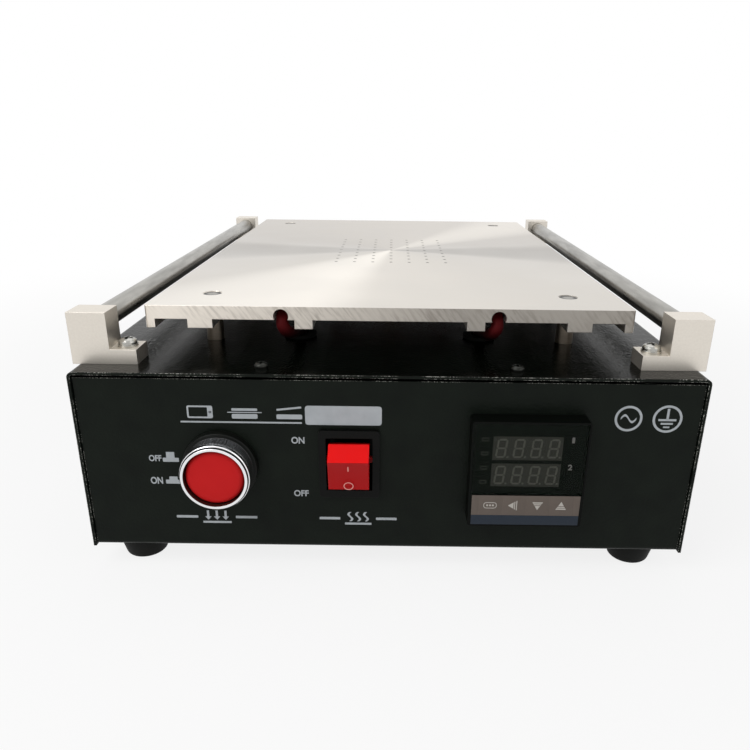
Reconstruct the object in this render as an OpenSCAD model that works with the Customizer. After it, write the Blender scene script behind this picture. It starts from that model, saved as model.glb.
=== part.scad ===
// Vacuum hot plate for separating tablet screens: a ribbed aluminium heating plate stands on a
// sheet steel case, between two rolling bars that guide the cutting wire. The case holds a vacuum
// pump, a temperature controller, a relay, a power supply and their switches.
// The part stands on its feet at z = 0 and faces -Y.

/* [Case] */
// Width of the case over the cover
case_w = 260; // [250:1:320]
// Depth of the case, from the front panel to the rear panel
case_d = 350; // [346:1:420]
// Height of the case, from the underside of the tray to the top of the cover
case_h = 81.5; // [80:0.5:110]
// Thickness of the sheet steel
sheet_t = 1.2; // [0.8:0.1:1.6]
// Outer radius of the folds in the sheet steel
fold_r = 2.4; // [2:0.1:4]
// Gap between the tray and the sides of the cover
cover_gap = 0.5; // [0.3:0.1:1]
// Gap between the top of the front panel and the underside of the cover
panel_drop = 1.3; // [0.5:0.1:3]
// How far the edge of the cover stands out past the panels
cover_lip = 0.8; // [0.2:0.1:2]

/* [Feet] */
// Height of a rubber foot
foot_h = 11; // [9:0.5:20]
// Diameter of a foot where it meets the case
foot_top_d = 23.5; // [20:0.5:28]
// Diameter of a foot where it meets the table
foot_base_d = 18; // [15:0.5:19]
// Distance of a foot's axis from the side of the case
foot_side_inset = 17.5; // [15:0.5:30]
// Distance of a foot's axis from the front and rear panels
foot_end_inset = 15; // [14:0.5:30]

/* [Heating plate] */
// Distance from the side of the case to the heating plate
plate_side = 25; // [22:0.5:30]
// Distance from a panel to the heating plate
plate_end = 25; // [20:0.5:30]
// Thickness of the plate's deck
plate_t = 5.9; // [5.5:0.1:8]
// Height of the legs under the deck
leg_h = 3.9; // [3:0.1:6]
// Width of the legs along the side edges
edge_leg_w = 4; // [3:0.1:6]
// Width of the legs over the standoffs
screw_leg_w = 10.7; // [10:0.1:13]
// Width of the legs beside the vacuum holes
inner_leg_w = 7.8; // [7:0.1:9]
// Distance between the facing sides of the two inner legs
inner_leg_span = 66.4; // [66:0.1:70]
// Distance of a heater groove's axis from the middle
groove_x = 46.8; // [46:0.1:52]
// Diameter of a heater groove
groove_d = 6.5; // [6:0.1:7]
// Height of a groove's axis above the underside of the deck
groove_rise = 1.5; // [1.2:0.1:2]
// Distance of a plate screw from the side edge of the plate
plate_screw_side = 23.3; // [22:0.1:26]
// Distance of a plate screw from the end of the plate
plate_screw_end = 24.4; // [16:0.1:40]
// Height of a standoff between the case and a leg
standoff_h = 11.7; // [11:0.1:16]
// Outer diameter of a standoff
standoff_d = 8; // [7.6:0.1:10]
// Corner radius of the plate
plate_corner_r = 1; // [1:0.5:8]

/* [Vacuum holes] */
// Distance between neighbouring vacuum holes
hole_pitch = 10.5; // [9:0.1:10.5]
// Number of columns of vacuum holes
hole_columns = 7; // [3:2:7]
// Number of rows of vacuum holes
hole_rows = 9; // [3:2:9]
// Diameter of a vacuum hole
hole_d = 1.3; // [1:0.1:2]

/* [Wire guides] */
// Length of a bracket's foot across the case
bracket_l = 27; // [26:0.5:34]
// Depth of a bracket along the case
bracket_d = 13; // [11:0.5:18]
// Height of a bracket
bracket_h = 22; // [21.5:0.5:30]
// Thickness of a bracket's foot
bracket_foot_t = 6.4; // [5:0.1:8]
// Width of a bracket's upright
upright_w = 16; // [13:0.5:16]
// How far a bracket stands out past the side of the case
bracket_overhang = 1.5; // [0:0.1:3]
// Distance from the panel to a bracket
bracket_inset = 9.5; // [5:0.5:12]
// Diameter of a guide roller
roller_d = 10; // [8:0.5:10]
// Height of a roller's axis above the case
roller_rise = 15.5; // [14.5:0.1:16]
// Depth of the blind bore for a roller's end
roller_bore_depth = 9; // [6:0.5:9.5]
// Running clearance around a roller's end, on the radius
roller_clearance = 0.05; // [0.02:0.01:0.1]
// Gap between a roller's end and the floor of its bore
roller_end_gap = 0.5; // [0.3:0.1:1]

/* [Suction button] */
// Distance of the button's axis to the left of the middle
button_left = 70.6; // [68:0.1:76]
// How far the button's axis lies below the middle of the panel
button_drop = 0.3; // [-3:0.1:3]
// How far the bezel stands out of the panel
button_proud = 13.4; // [13:0.1:16]
// Outer diameter of the bezel
bezel_d = 29; // [28:0.5:31]
// Diameter of the coloured cap
cap_d = 24.4; // [23.5:0.1:25]
// Thickness of the cap
cap_t = 3.4; // [3:0.1:3.6]
// Gap between the cap and the bezel, on the radius
cap_gap = 0.3; // [0.2:0.05:0.5]
// How far the cap lies below the bezel's face
cap_sink = 1.2; // [0.8:0.1:1.3]
// Diameter of the threaded body
button_body_d = 22; // [20:0.5:22]
// Diameter of the cap's stem
stem_d = 10; // [8:0.5:12]
// Sliding clearance around the stem, on the radius
stem_clearance = 0.05; // [0.02:0.01:0.1]

/* [Heating switch] */
// Distance of the switch's middle to the left of the middle
rocker_left = 16.3; // [12:0.1:20]
// How far the switch's middle lies above the middle of the panel
rocker_lift = 1.3; // [-3:0.1:3]
// Width of the rocker's frame
rocker_frame_w = 25.5; // [25:0.1:27]
// Height of the rocker's frame
rocker_frame_h = 31; // [30.5:0.1:33]
// How far the frame stands out of the panel
rocker_frame_t = 2; // [1.5:0.1:3]
// Width of the opening in the frame
rocker_open_w = 19.4; // [18.5:0.1:19.4]
// Height of the opening in the frame
rocker_open_h = 24.2; // [24.2:0.1:24.6]
// Width of the rocker
rocker_w = 16.9; // [16.5:0.1:17.8]
// How far the rocker's pivot lies above the switch's middle
rocker_pivot_z = 0.8; // [0:0.1:0.8]
// Tilt of the rocker to each side, in degrees
rocker_tilt = 15; // [10:0.5:16]

/* [Temperature controller] */
// Distance of the controller's middle to the right of the middle
controller_right = 57.7; // [57:0.1:66]
// How far the controller's middle lies above the middle of the panel
controller_lift = 0.5; // [-3:0.1:2]
// Side of the controller's square bezel
controller_side = 48; // [48:0.1:50]
// How far the bezel stands out of the panel
controller_proud = 8.3; // [7.5:0.1:10]
// Side of the controller's case
controller_case_side = 44.8; // [44:0.1:45]
// Depth of the controller's case behind the panel
controller_depth = 100; // [80:1:100]
// Width of the border around the controller's face
controller_border = 0.9; // [0.6:0.1:1.4]
// Width of a digit window
digit_w = 28.5; // [26:0.1:30]
// Height of a digit window
digit_h = 10.6; // [9:0.1:10.8]
// Distance between the middles of neighbouring keys
key_pitch = 9.9; // [9:0.1:10.5]
// Height of a key
key_h = 8.8; // [8:0.1:9]
// Gap around a key
key_gap = 0.3; // [0.2:0.05:0.5]
// Travel of a key
key_travel = 0.5; // [0.3:0.05:0.8]

/* [Equipment] */
// Distance of the pump's axis from the side of the case
pump_side = 52; // [50:0.5:56]
// Radius of the pump's motor
motor_r = 18; // [16:0.5:18]
// Length of the pump's motor
motor_l = 52; // [40:1:60]
// Radius by which the pump's eccentric lies off its axis
crank_offset = 2; // [1:0.1:2.2]
// Width of the solid state relay
relay_w = 45; // [43:0.5:46]
// Width of the power supply
supply_w = 78; // [70:1:84]
// Distance between the relay and the power supply
supply_gap = 25; // [15:0.5:40]
// Height of the power supply
supply_h = 36; // [30:1:42]
// Distance of the power inlet's middle from the side of the case
inlet_side = 50; // [46:1:54]
// How far the power inlet's middle lies below the middle of the panel
inlet_drop = 6; // [-4:0.5:10]
// How far the inlet's flange stands out of the rear panel
inlet_proud = 3; // [2:0.1:4]

/* [Hidden] */
$fn = 48;

// Overrun of every cut past the face that it opens
over = 0.5;
// Cosine of a heading to X under which X serves as the first side direction of a tube
near_x = 0.7;
// Radial gap between a fastener and its hole, and between a fixed insert and its seat
fit_gap = 0.05;

// Places of the case: its front panel, its underside and its top
y_front = -(case_d + inlet_proud - button_proud) / 2;
z_case = foot_h;
z_top = foot_h + case_h;
tray_w = case_w - 2 * (sheet_t + cover_gap);
panel_h = case_h - sheet_t - panel_drop;
left_side = -case_w / 2;
right_side = case_w / 2;
button_rise = case_h / 2 - button_drop;
rocker_rise = case_h / 2 + rocker_lift;
controller_rise = case_h / 2 + controller_lift;
inlet_rise = case_h / 2 - inlet_drop;
inlet_x = left_side + inlet_side;
return_flange = 18;
return_flange_room = 8;
side_flange_h = 12;
side_flange_inset = 6;

// Screws: shank, head width and head height of each size
m4_d = 4;
m4_head_d = 7.6;
m4_head_h = 2.8;
m4_nut_w = 7.6;
m4_nut_h = 3.2;
m4_washer_d = 8.4;
m4_washer_t = 0.8;
m3_d = 3;
m3_head_d = 5.6;
m3_head_h = 2.2;
screw_hole_gap = 0.15;
recess_width_share = 0.16;
recess_length_share = 0.58;
recess_depth_share = 0.6;
head_edge_share = 0.35;
head_steps = 5;
nut_end = 1;

// Heating plate, measured from the top of the case
deck_z = standoff_h + leg_h;
plate_top_z = deck_z + plate_t;
plate_w = case_w - 2 * plate_side;
plate_l = case_d - 2 * plate_end;
plate_screw_x = plate_w / 2 - plate_screw_side;
plate_screw_y = plate_end + plate_screw_end;
countersink_d = 8.8;
countersink_sink = 0.3;
plate_head_d = 8.2;
inner_leg_x = (inner_leg_span + inner_leg_w) / 2;
groove_z = deck_z + groove_rise;
heater_front = 56;
heater_back_inset = 28;
heater_clearance = 0.1;
sleeve_d = 5.5;
sleeve_hole_x = 42.6;
sleeve_hole_y = 56;
sleeve_hole_d = 11;
grommet_bore_d = 7.4;
grommet_flange_w = 2;
grommet_flange_t = 1.5;

// Vacuum chamber under the middle of the plate
chamber_spare_l = 26;
chamber_l = (hole_rows - 1) * hole_pitch + chamber_spare_l;
chamber_end = 9;
chamber_lid_t = 3;
gasket_t = 1;
gasket_fit = 0.1;
chamber_w = inner_leg_span + 2 * inner_leg_w;
chamber_screw_l = 8;
chamber_tap_depth = 6;
// Screws of the lid, from the left to the right and from the front to the rear
chamber_screw_places = [
    for (x = [-1, 1], y = [-1, 0, 1])
        [x * inner_leg_x, case_d / 2 + y * (chamber_l - chamber_end) / 2]
];
fitting_hole_d = 16;
fitting_hex_w = 12;
fitting_hex_h = 4;
fitting_stem_d = 5;
fitting_barb_d = 6.4;
fitting_bore_d = 2.5;
fitting_drop = 14;
fitting_barbs = 3;
barb_pitch = 3;

// Wire guides, measured from the top of the case
bracket_out_x = case_w / 2 + bracket_overhang;
roller_x = bracket_out_x - upright_w / 2;
bracket_screw_x = bracket_out_x - (bracket_l + upright_w) / 2;
bracket_screw_y = bracket_inset + bracket_d / 2;
roller_chamfer = 0.6;
roller_front = bracket_inset + bracket_d - roller_bore_depth + roller_end_gap;
roller_l = case_d - 2 * roller_front;
cover_screw_x = 53;
cover_screw_y = 8.5;
cover_screw_l = 6;
return_flange_w = 2 * (bracket_screw_x - return_flange_room);

// Feet
foot_edge = 1;
foot_recess_d = 9.6;
foot_recess_h = 5;
foot_x = case_w / 2 - foot_side_inset;

// Suction button: lengths along its axis, outwards from the panel
collar_t = 3.5;
collar_d = 31.5;
bezel_floor_t = 0.9;
bezel_front_h = 3.4;
bezel_grip_d = 28;
grip_rib_count = 36;
// One rib of the grip: share of the turn to the next rib, and height over the grip
grip_rib = [[0, 0], [0.2, 0.35], [0.5, 0.35], [0.7, 0]];
button_neck_l = 24;
stem_l = 15;
stem_bore_l = 20;
button_nut_t = 4;
button_nut_d = 28;
button_block_w = 24;
button_block_l = 22;

// Heating switch: lengths along its axis, inwards from the panel
rocker_corner_r = 1.5;
rocker_pivot_y = 2;
rocker_face_y = 10.8;
rocker_face_h = 14.8;
rocker_base_y = 2.7;
rocker_base_h = 21;
rocker_dish_r = 60;
rocker_dish_sides = 256;
rocker_hub_r = 7;
rocker_hub_y = 5.5;
rocker_pin_d = 3;
rocker_pin_l = 0.7;
rocker_pin_end = (rocker_open_w - rocker_w) / 2 + rocker_pin_l;
rocker_body_w = 21.8;
rocker_body_h = 27.6;
rocker_body_l = 22;
rocker_floor_t = 6;
blade_w = 6.3;
blade_t = 0.8;
blade_l = 9;
blade_x = 5;
blade_z = 8;

// Temperature controller, from the middle of its face
controller_wall = 2;
controller_corner_r = 1.2;
face_side = controller_side - 2 * controller_border;
face_depth = 1.6;
window_top = face_side / 2;
window_low = -9;
digit_x = -0.8;
digit_z = [11.7, -0.5];
digit_t = 4;
key_count = 4;
key_row_z = -13.9;
key_w = key_pitch - 2 * key_gap;
key_t = 1.4;
key_stem_d = 3;
key_stem_l = 3;
clamp_wall = 4;
clamp_t = 12;
clamp_gap = 0.2;

// Vacuum pump, along its axis
pump_x = left_side + pump_side;
pump_bracket_top = 14;
pump_z = pump_bracket_top + motor_r;
crankcase_y = 128;
crankcase_l = 26;
crankcase_wall = 4;
crank_chamber_r = 14.5;
motor_y = crankcase_y + crankcase_l;
motor_boss_d = 8;
motor_boss_l = 2;
motor_shaft_d = 3.2;
motor_bore_l = 36;
shaft_tail = 34;
shaft_nose = 17;
crank_disc_d = 12;
crank_disc_t = 7;
crank_disc_inset = 9.5;
crank_disc_y = crankcase_y + crank_disc_inset;
crank_gap = 0.4;
counterweight_r = 11;
counterweight_t = 3;
counterweight_y = crank_disc_y + crank_disc_t + 1;
rod_eye_wall = 2;
rod_w = 6;
rod_slot_gap = 1;
diaphragm_d = 30;
diaphragm_t = 1.5;
pump_head_h = 13.5;
pump_barb_l = 12;
pump_bracket_t = 1.5;
pump_bracket_w = 32;
pump_bracket_foot = 12;
pump_screw_ends = 10;

// Equipment on the floor of the tray
relay_side = 47.5;
relay_x = right_side - relay_side;
relay_y = 130;
relay_l = 60;
relay_h = 23;
relay_screw_end = 6;
supply_side = 61;
supply_x = right_side - supply_side;
supply_back = 25;
supply_y = relay_y + relay_l + supply_gap;
supply_l = case_d - supply_back - supply_y;
supply_wall = 1;
supply_screw_inset = 12;
terminal_w = 64;
terminal_l = 20;
terminal_h = 16;
terminal_gap = 6;
terminal_y = controller_depth + terminal_gap;
terminal_screw_x = 28;
terminal_ways = 6;
terminal_way_w = 8;
terminal_way_depth = 7;
terminal_way_l = 12;
chassis_screw_l = 5;
// Screws through the floor of the tray: the place of each and its length above the floor
chassis_places = concat(
    [for (x = [-1, 1], y = [crankcase_y + pump_screw_ends, motor_y + motor_l - pump_screw_ends])
        [pump_x + x * (pump_bracket_w + pump_bracket_foot) / 2, y, pump_bracket_t]],
    [for (y = [relay_screw_end, relay_l - relay_screw_end]) [relay_x, relay_y + y, chassis_screw_l]],
    [for (x = [-1, 1], y = [supply_screw_inset, supply_l - supply_screw_inset])
        [supply_x + x * (supply_w / 2 - supply_screw_inset), supply_y + y, supply_wall]],
    [for (x = [-1, 1]) [x * terminal_screw_x, terminal_y + terminal_l / 2, chassis_screw_l]]
);

// Power inlet, outwards from the rear panel
inlet_flange_w = 50;
inlet_flange_h = 22.5;
inlet_corner_r = 4;
inlet_body_w = 27;
inlet_body_h = 19.6;
inlet_body_l = 25;
socket_w = 24.2;
socket_h = 16.6;
socket_depth = 16;
inlet_pin_x = 7;
inlet_pin_z = 2;
inlet_pin_w = 2;
inlet_pin_h = 4;
inlet_pin_l = 14;
inlet_screw_x = 20;
inlet_tab_l = 10;
vent_w = 3;
vent_h = 30;
vent_pitch = 7;
vent_count = 10;
vent_x = 35;
vent_z = 24;

// Temperature sensor under the plate
sensor_side = 11;
sensor_x = plate_w / 2 - sensor_side;
sensor_y = 150;
sensor_d = 4;
sensor_l = 25;
sensor_clip_w = 12;
sensor_clip_l = 8;
sensor_clip_t = 1.2;
sensor_hole_y = 130;
sensor_hole_d = 7;
sensor_bore_d = 4;
lead_d = 3;

// Routes of the leads and the hose, each of which ends a little before the face that it runs to.
// Those above the case are measured from the front panel's face and the top of the cover, those
// inside it from the front panel's face and the tray.
sleeve_right_route = [
    [46.8, 55.7, 17.1], [46.8, 50, 17.1], [46.8, 42, 17.1], [46.8, 36, 16.9], [46.8, 31, 15.6],
    [46.7, 28.6, 12.8], [45.4, 29.2, 10], [44, 32, 8.2], [43.2, 37, 7.2], [42.8, 43, 6.4],
    [42.6, 49, 5.4], [42.6, 54, 3.4], [42.6, 56, 0], [42.6, 56.4, -3.2], [40.8, 59, -6.4],
    [36, 63, -7.4], [30, 68.5, -9.6], [26.4, 75, -17], [24, 82, -30], [22, 90, -53], [22, 98, -69.5],
    [22, 101, -71.5], [22, 105.7, -71.5]
];
sleeve_left_route = [
    [-46.8, 55.7, 17.1], [-46.8, 50, 17.1], [-46.8, 42, 17.1], [-46.8, 36, 16.9], [-46.8, 31, 15.6],
    [-46.7, 28.6, 12.8], [-45.4, 29.2, 10], [-44, 32, 8.2], [-43.2, 37, 7.2], [-42.8, 43, 6.4],
    [-42.6, 49, 5.4], [-42.6, 54, 3.4], [-42.6, 56, 0], [-42.6, 56.4, -4], [-42.6, 58, -14],
    [-42, 62, -28], [-39, 68, -44], [-33, 78, -61], [-28, 90, -69.5], [-26.4, 98, -71.5],
    [-26.4, 101, -71.5], [-26.4, 105.7, -71.5]
];
sensor_route = [
    [94, 149.7, 13.6], [94, 146, 13.6], [94, 141, 13], [94, 136, 10], [94, 132, 5], [94, 130.2, 0],
    [94, 130, -8], [93, 128, -16], [85, 120, -24], [69.7, 112, -28], [61.7, 107, -28],
    [59.7, 104, -28], [59.7, 100.3, -28]
];
hose_d = 8;
hose_route = [
    [0, 175, 67.2], [0, 175, 62.5], [0, 174.4, 57.5], [-3, 172, 50.5], [-12, 164, 45], [-24, 152, 46],
    [-32, 144.5, 52], [-38, 141.4, 56.6], [-43, 141, 58.2], [-46, 141, 58.2], [-47.7, 141, 58.2]
];
mains_d = 5;
signal_d = 3.6;
rocker_mains_route = [
    [-87, 314.7, 34.7], [-87, 308, 34.7], [-88, 298, 32], [-96, 282, 22], [-107, 262, 10], [-112, 238, 6],
    [-112, 200, 6], [-112, 160, 6], [-110, 126, 8], [-104, 106, 16], [-90, 94, 29], [-64, 88, 40],
    [-40, 75, 45.8], [-27, 58, 47], [-21.7, 48, 49.7], [-21.3, 41, 50.1], [-21.3, 36, 50.1],
    [-21.3, 31.3, 50.1]
];
rocker_output_route = [
    [-11.3, 31.3, 34.1], [-11.3, 36, 34.1], [-11.3, 41, 33.7], [-12, 54, 28], [-14, 74, 16],
    [-15.6, 92, 10.4], [-16, 98, 10], [-16, 101, 10], [-16, 105.7, 10]
];
button_route = [
    [-70.6, 46.3, 40.4], [-70.6, 53, 40.4], [-70, 60, 37.6], [-65, 72, 27], [-54, 87, 14],
    [-44, 104, 8], [-38, 118, 8], [-35.4, 127, 8], [-38, 144, 7], [-36, 170, 5], [-22, 192, 5],
    [4, 220, 7], [14, 232, 9], [20, 235, 12], [25, 235, 12], [29.7, 235, 12]
];
motor_route = [
    [29.7, 260, 14], [24, 260, 14], [14, 259, 13], [-6, 254, 9], [-38, 244, 8], [-64, 234, 14],
    [-76, 224, 25], [-78, 217, 31], [-78, 212, 32], [-78, 206.3, 32]
];
supply_route = [
    [26, 126.3, 10], [26, 132, 10], [27, 148, 9], [33, 172, 8], [42, 194, 10], [44, 203, 12],
    [44, 209, 12], [44, 214.7, 12]
];
controller_route = [
    [5, 126.3, 10], [5, 131, 10], [9, 138, 16], [20, 142, 30], [31, 136, 39], [41, 121, 34],
    [43.6, 111, 30.6], [44, 106, 30], [44, 100.3, 30]
];
relay_route = [
    [70, 100.3, 28], [70, 105, 28], [71, 110, 27], [74, 117, 21], [77, 123, 14], [78, 126, 12],
    [78, 129.7, 12]
];
route_steps = 2;
route_sides = 8;

// Frames in which the pieces are drawn

module in_case() {
    translate([0, y_front, z_case]) children();
}

module on_case() {
    translate([0, y_front, z_top]) children();
}

// Local +Z points out of the front panel at a place on it
module out_of_front(x, z) {
    translate([x, y_front, z_case + z]) rotate([90, 0, 0]) children();
}

// Local +Z points out of the rear panel at a place on it
module out_of_rear(x, z) {
    translate([x, y_front + case_d, z_case + z]) rotate([90, 0, 180]) children();
}

module both_sides() {
    for (side = [-1, 1]) on_side(side) children();
}

module on_side(side) {
    if (side < 0) mirror([1, 0, 0]) children();
    else children();
}

// The near end of the case and its mirror image at the far end
module end_of_case(rear) {
    if (rear) translate([0, case_d, 0]) mirror([0, 1, 0]) children();
    else children();
}

module four_corners() {
    for (rear = [false, true]) end_of_case(rear) both_sides() children();
}

module bar_y(d, l) {
    rotate([-90, 0, 0]) cylinder(d = d, h = l);
}

module rounded(w, h, r) {
    union() {
        square([w - 2 * r, h], center = true);
        square([w, h - 2 * r], center = true);
        for (sx = [-1, 1], sz = [-1, 1]) translate([sx * (w / 2 - r), sz * (h / 2 - r)]) circle(r = r);
    }
}

module slab(w, h, t, r) {
    linear_extrude(t) rounded(w, h, r);
}

// A block centred on x and y whose two lower edges along x are rounded
module folded_block(w, l, h, r) {
    translate([-w / 2, -l / 2, r]) cube([w, l, h - r]);
    translate([-w / 2, -l / 2 + r, 0]) cube([w, l - 2 * r, h]);
    for (side = [-1, 1])
        translate([-w / 2, side * (l / 2 - r), r]) rotate([0, 90, 0]) cylinder(r = r, h = w);
}

// Half outline of a domed head that stands on z = 0
function head_outline(r, h) = concat(
    [[0, 0], [r, 0]],
    [for (i = [0:head_steps]) let (turn = 90 * i / head_steps)
        [r * cos(turn), h * (head_edge_share + (1 - head_edge_share) * sin(turn))]]
);

module cross_recess(head_d, head_h) {
    depth = head_h * recess_depth_share;
    for (turn = [0, 90]) rotate([0, 0, turn])
        translate([-head_d * recess_length_share / 2, -head_d * recess_width_share / 2, head_h - depth])
            cube([head_d * recess_length_share, head_d * recess_width_share, depth + over]);
}

// A domed screw: its head stands on z = 0 and its shank hangs below
module dome_screw(d, head_d, head_h, l) {
    difference() {
        union() {
            rotate_extrude() polygon(head_outline(head_d / 2, head_h));
            translate([0, 0, -l]) cylinder(d = d, h = l + head_h * head_edge_share);
        }
        cross_recess(head_d, head_h);
    }
}

// A countersunk screw whose head's face lies at z = 0
module sunk_screw(d, head_d, l) {
    head_h = (head_d - d) / 2;
    difference() {
        union() {
            translate([0, 0, -head_h]) cylinder(d1 = d, d2 = head_d, h = head_h);
            translate([0, 0, -l]) cylinder(d = d, h = l - head_h / 2);
        }
        cross_recess(head_d, head_h);
    }
}

module ring(d, bore, t) {
    difference() {
        cylinder(d = d, h = t);
        translate([0, 0, -over]) cylinder(d = bore, h = t + 2 * over);
    }
}

module nut(w, bore, t) {
    difference() {
        cylinder(d = w / cos(30), h = t, $fn = 6);
        translate([0, 0, -over]) cylinder(d = bore + 2 * fit_gap, h = t + 2 * over);
    }
}

// Rubber ring in a hole of the cover, whose top is z = 0
module grommet(hole, bore) {
    flange_r = hole / 2 + grommet_flange_w;
    neck_r = hole / 2 - fit_gap;
    rotate_extrude() polygon([
        [bore / 2, -sheet_t - grommet_flange_t], [flange_r, -sheet_t - grommet_flange_t],
        [flange_r, -sheet_t], [neck_r, -sheet_t], [neck_r, 0], [flange_r, 0],
        [flange_r, grommet_flange_t], [bore / 2, grommet_flange_t]
    ]);
}

// Smooth tubes along a route

function unit(v) = v / norm(v);

function on_curve(a, b, c, d, t) =
    (2 * b + (c - a) * t + (2 * a - 5 * b + 4 * c - d) * t * t + (3 * b - a - 3 * c + d) * t * t * t) / 2;

function smooth(p) = concat(
    [for (i = [0:len(p) - 2]) for (j = [0:route_steps - 1])
        on_curve(p[max(i - 1, 0)], p[i], p[i + 1], p[min(i + 2, len(p) - 1)], j / route_steps)],
    [p[len(p) - 1]]
);

function headings(p) = [
    for (i = [0:len(p) - 1])
        i == 0 ? unit(p[1] - p[0])
        : i == len(p) - 1 ? unit(p[i] - p[i - 1])
        : unit(p[i + 1] - p[i - 1])
];

// Carries a side direction along the headings without twisting it
function carried(t, i, u) =
    i == len(t) ? [] : let (v = unit(u - (u * t[i]) * t[i])) concat([v], carried(t, i + 1, v));

function side_start(t) = abs(t[0]) < near_x ? [1, 0, 0] : [0, 0, 1];

module tube_along(route, d, sides = route_sides) {
    p = smooth(route);
    t = headings(p);
    u = carried(t, 0, side_start(t[0]));
    rings = len(p);
    points = [
        for (i = [0:rings - 1]) for (j = [0:sides - 1])
            p[i] + d / 2 * (cos(360 * j / sides) * u[i] + sin(360 * j / sides) * cross(t[i], u[i]))
    ];
    walls = [
        for (i = [0:rings - 2]) for (j = [0:sides - 1])
            let (k = (j + 1) % sides, a = i * sides, b = a + sides)
                for (half = [0, 1]) half == 0 ? [a + j, b + j, b + k] : [a + j, b + k, a + k]
    ];
    ends = concat(
        [for (j = [1:sides - 2]) [0, j, j + 1]],
        [for (j = [1:sides - 2]) [(rings - 1) * sides, rings * sides - j, rings * sides - j - 1]]
    );
    polyhedron(points, concat(walls, ends));
}

// Sheet steel case

module tray_shell() {
    translate([0, case_d / 2, 0]) difference() {
        folded_block(tray_w, case_d, panel_h, fold_r);
        translate([0, 0, sheet_t])
            folded_block(tray_w + 2 * over, case_d - 2 * sheet_t, panel_h, fold_r - sheet_t);
    }
    for (rear = [false, true]) end_of_case(rear)
        translate([-return_flange_w / 2, sheet_t / 2, panel_h - sheet_t])
            cube([return_flange_w, return_flange, sheet_t]);
    both_sides()
        translate([tray_w / 2 - sheet_t, side_flange_inset, sheet_t / 2])
            cube([sheet_t, case_d - 2 * side_flange_inset, side_flange_h]);
}

module tray_cut(x, z, rear = false) {
    if (rear) translate([x, case_d - sheet_t - over, z]) rotate([-90, 0, 0]) children();
    else translate([x, -over, z]) rotate([-90, 0, 0]) children();
}

module base_tray() {
    cut_t = sheet_t + 2 * over;
    color("#202120") in_case() difference() {
        tray_shell();
        tray_cut(-button_left, button_rise) cylinder(d = button_body_d + 2 * screw_hole_gap, h = cut_t);
        tray_cut(-rocker_left, rocker_rise)
            translate([-rocker_body_w / 2 - fit_gap, -rocker_body_h / 2 - fit_gap, 0])
                cube([rocker_body_w + 2 * fit_gap, rocker_body_h + 2 * fit_gap, cut_t]);
        tray_cut(controller_right, controller_rise)
            translate([-controller_case_side / 2 - fit_gap, -controller_case_side / 2 - fit_gap, 0])
                cube([controller_case_side + 2 * fit_gap, controller_case_side + 2 * fit_gap, cut_t]);
        tray_cut(inlet_x, inlet_rise, rear = true)
            translate([-inlet_body_w / 2 - fit_gap, -inlet_body_h / 2 - fit_gap, 0])
                cube([inlet_body_w + 2 * fit_gap, inlet_body_h + 2 * fit_gap, cut_t]);
        for (side = [-1, 1]) tray_cut(inlet_x + side * inlet_screw_x, inlet_rise, rear = true)
            cylinder(d = m3_d + 2 * fit_gap, h = cut_t);
        for (i = [0:vent_count - 1]) translate([vent_x + i * vent_pitch, case_d - sheet_t - over, vent_z])
            cube([vent_w, cut_t, vent_h]);
        four_corners() translate([foot_x, foot_end_inset, -over])
            cylinder(d = m4_d + 2 * screw_hole_gap, h = cut_t);
        for (p = chassis_places) translate([p[0], p[1], -over])
            cylinder(d = m3_d + 2 * screw_hole_gap, h = cut_t);
        four_corners() translate([cover_screw_x, cover_screw_y, panel_h - sheet_t - over])
            cylinder(d = m3_d + 2 * fit_gap, h = cut_t);
    }
}

module top_cover() {
    cut_t = sheet_t + 2 * over;
    cover_l = case_d + 2 * cover_lip;
    color("#232423") difference() {
        in_case() translate([0, case_d / 2, case_h]) mirror([0, 0, 1]) rotate([0, 0, 90]) difference() {
            folded_block(cover_l, case_w, case_h, fold_r);
            translate([0, 0, sheet_t])
                folded_block(cover_l + 2 * over, case_w - 2 * sheet_t, case_h, fold_r - sheet_t);
        }
        on_case() translate([0, 0, -sheet_t - over]) {
            four_corners() translate([cover_screw_x, cover_screw_y, 0])
                cylinder(d = m3_d + 2 * screw_hole_gap, h = cut_t);
            four_corners() translate([bracket_screw_x, bracket_screw_y, 0])
                cylinder(d = m4_d + 2 * screw_hole_gap, h = cut_t);
            four_corners() translate([plate_screw_x, plate_screw_y, 0])
                cylinder(d = m4_d + 2 * screw_hole_gap, h = cut_t);
            both_sides() translate([sleeve_hole_x, sleeve_hole_y, 0]) cylinder(d = sleeve_hole_d, h = cut_t);
            translate([sensor_x, sensor_hole_y, 0]) cylinder(d = sensor_hole_d, h = cut_t);
            translate([0, case_d / 2, 0]) cylinder(d = fitting_hole_d, h = cut_t);
        }
    }
}

module cover_screws() {
    color("#1c1c1c") on_case() four_corners() translate([cover_screw_x, cover_screw_y, 0])
        dome_screw(m3_d, m3_head_d, m3_head_h, cover_screw_l);
}

// Heating plate and what stands between it and the case

module plate_section() {
    difference() {
        union() {
            translate([-plate_w / 2, deck_z]) square([plate_w, plate_t]);
            for (side = [-1, 1]) {
                translate([side * (plate_w - edge_leg_w) / 2 - edge_leg_w / 2, standoff_h])
                    square([edge_leg_w, leg_h + plate_t / 2]);
                translate([side * plate_screw_x - screw_leg_w / 2, standoff_h])
                    square([screw_leg_w, leg_h + plate_t / 2]);
                translate([side * inner_leg_x - inner_leg_w / 2, standoff_h])
                    square([inner_leg_w, leg_h + plate_t / 2]);
            }
        }
        for (side = [-1, 1]) translate([side * groove_x, groove_z]) circle(d = groove_d);
    }
}

module corner_cut(r, h) {
    difference() {
        translate([-r, -r, 0]) cube([r + over, r + over, h]);
        translate([-r, -r, -over]) cylinder(r = r, h = h + 2 * over);
    }
}

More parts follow.
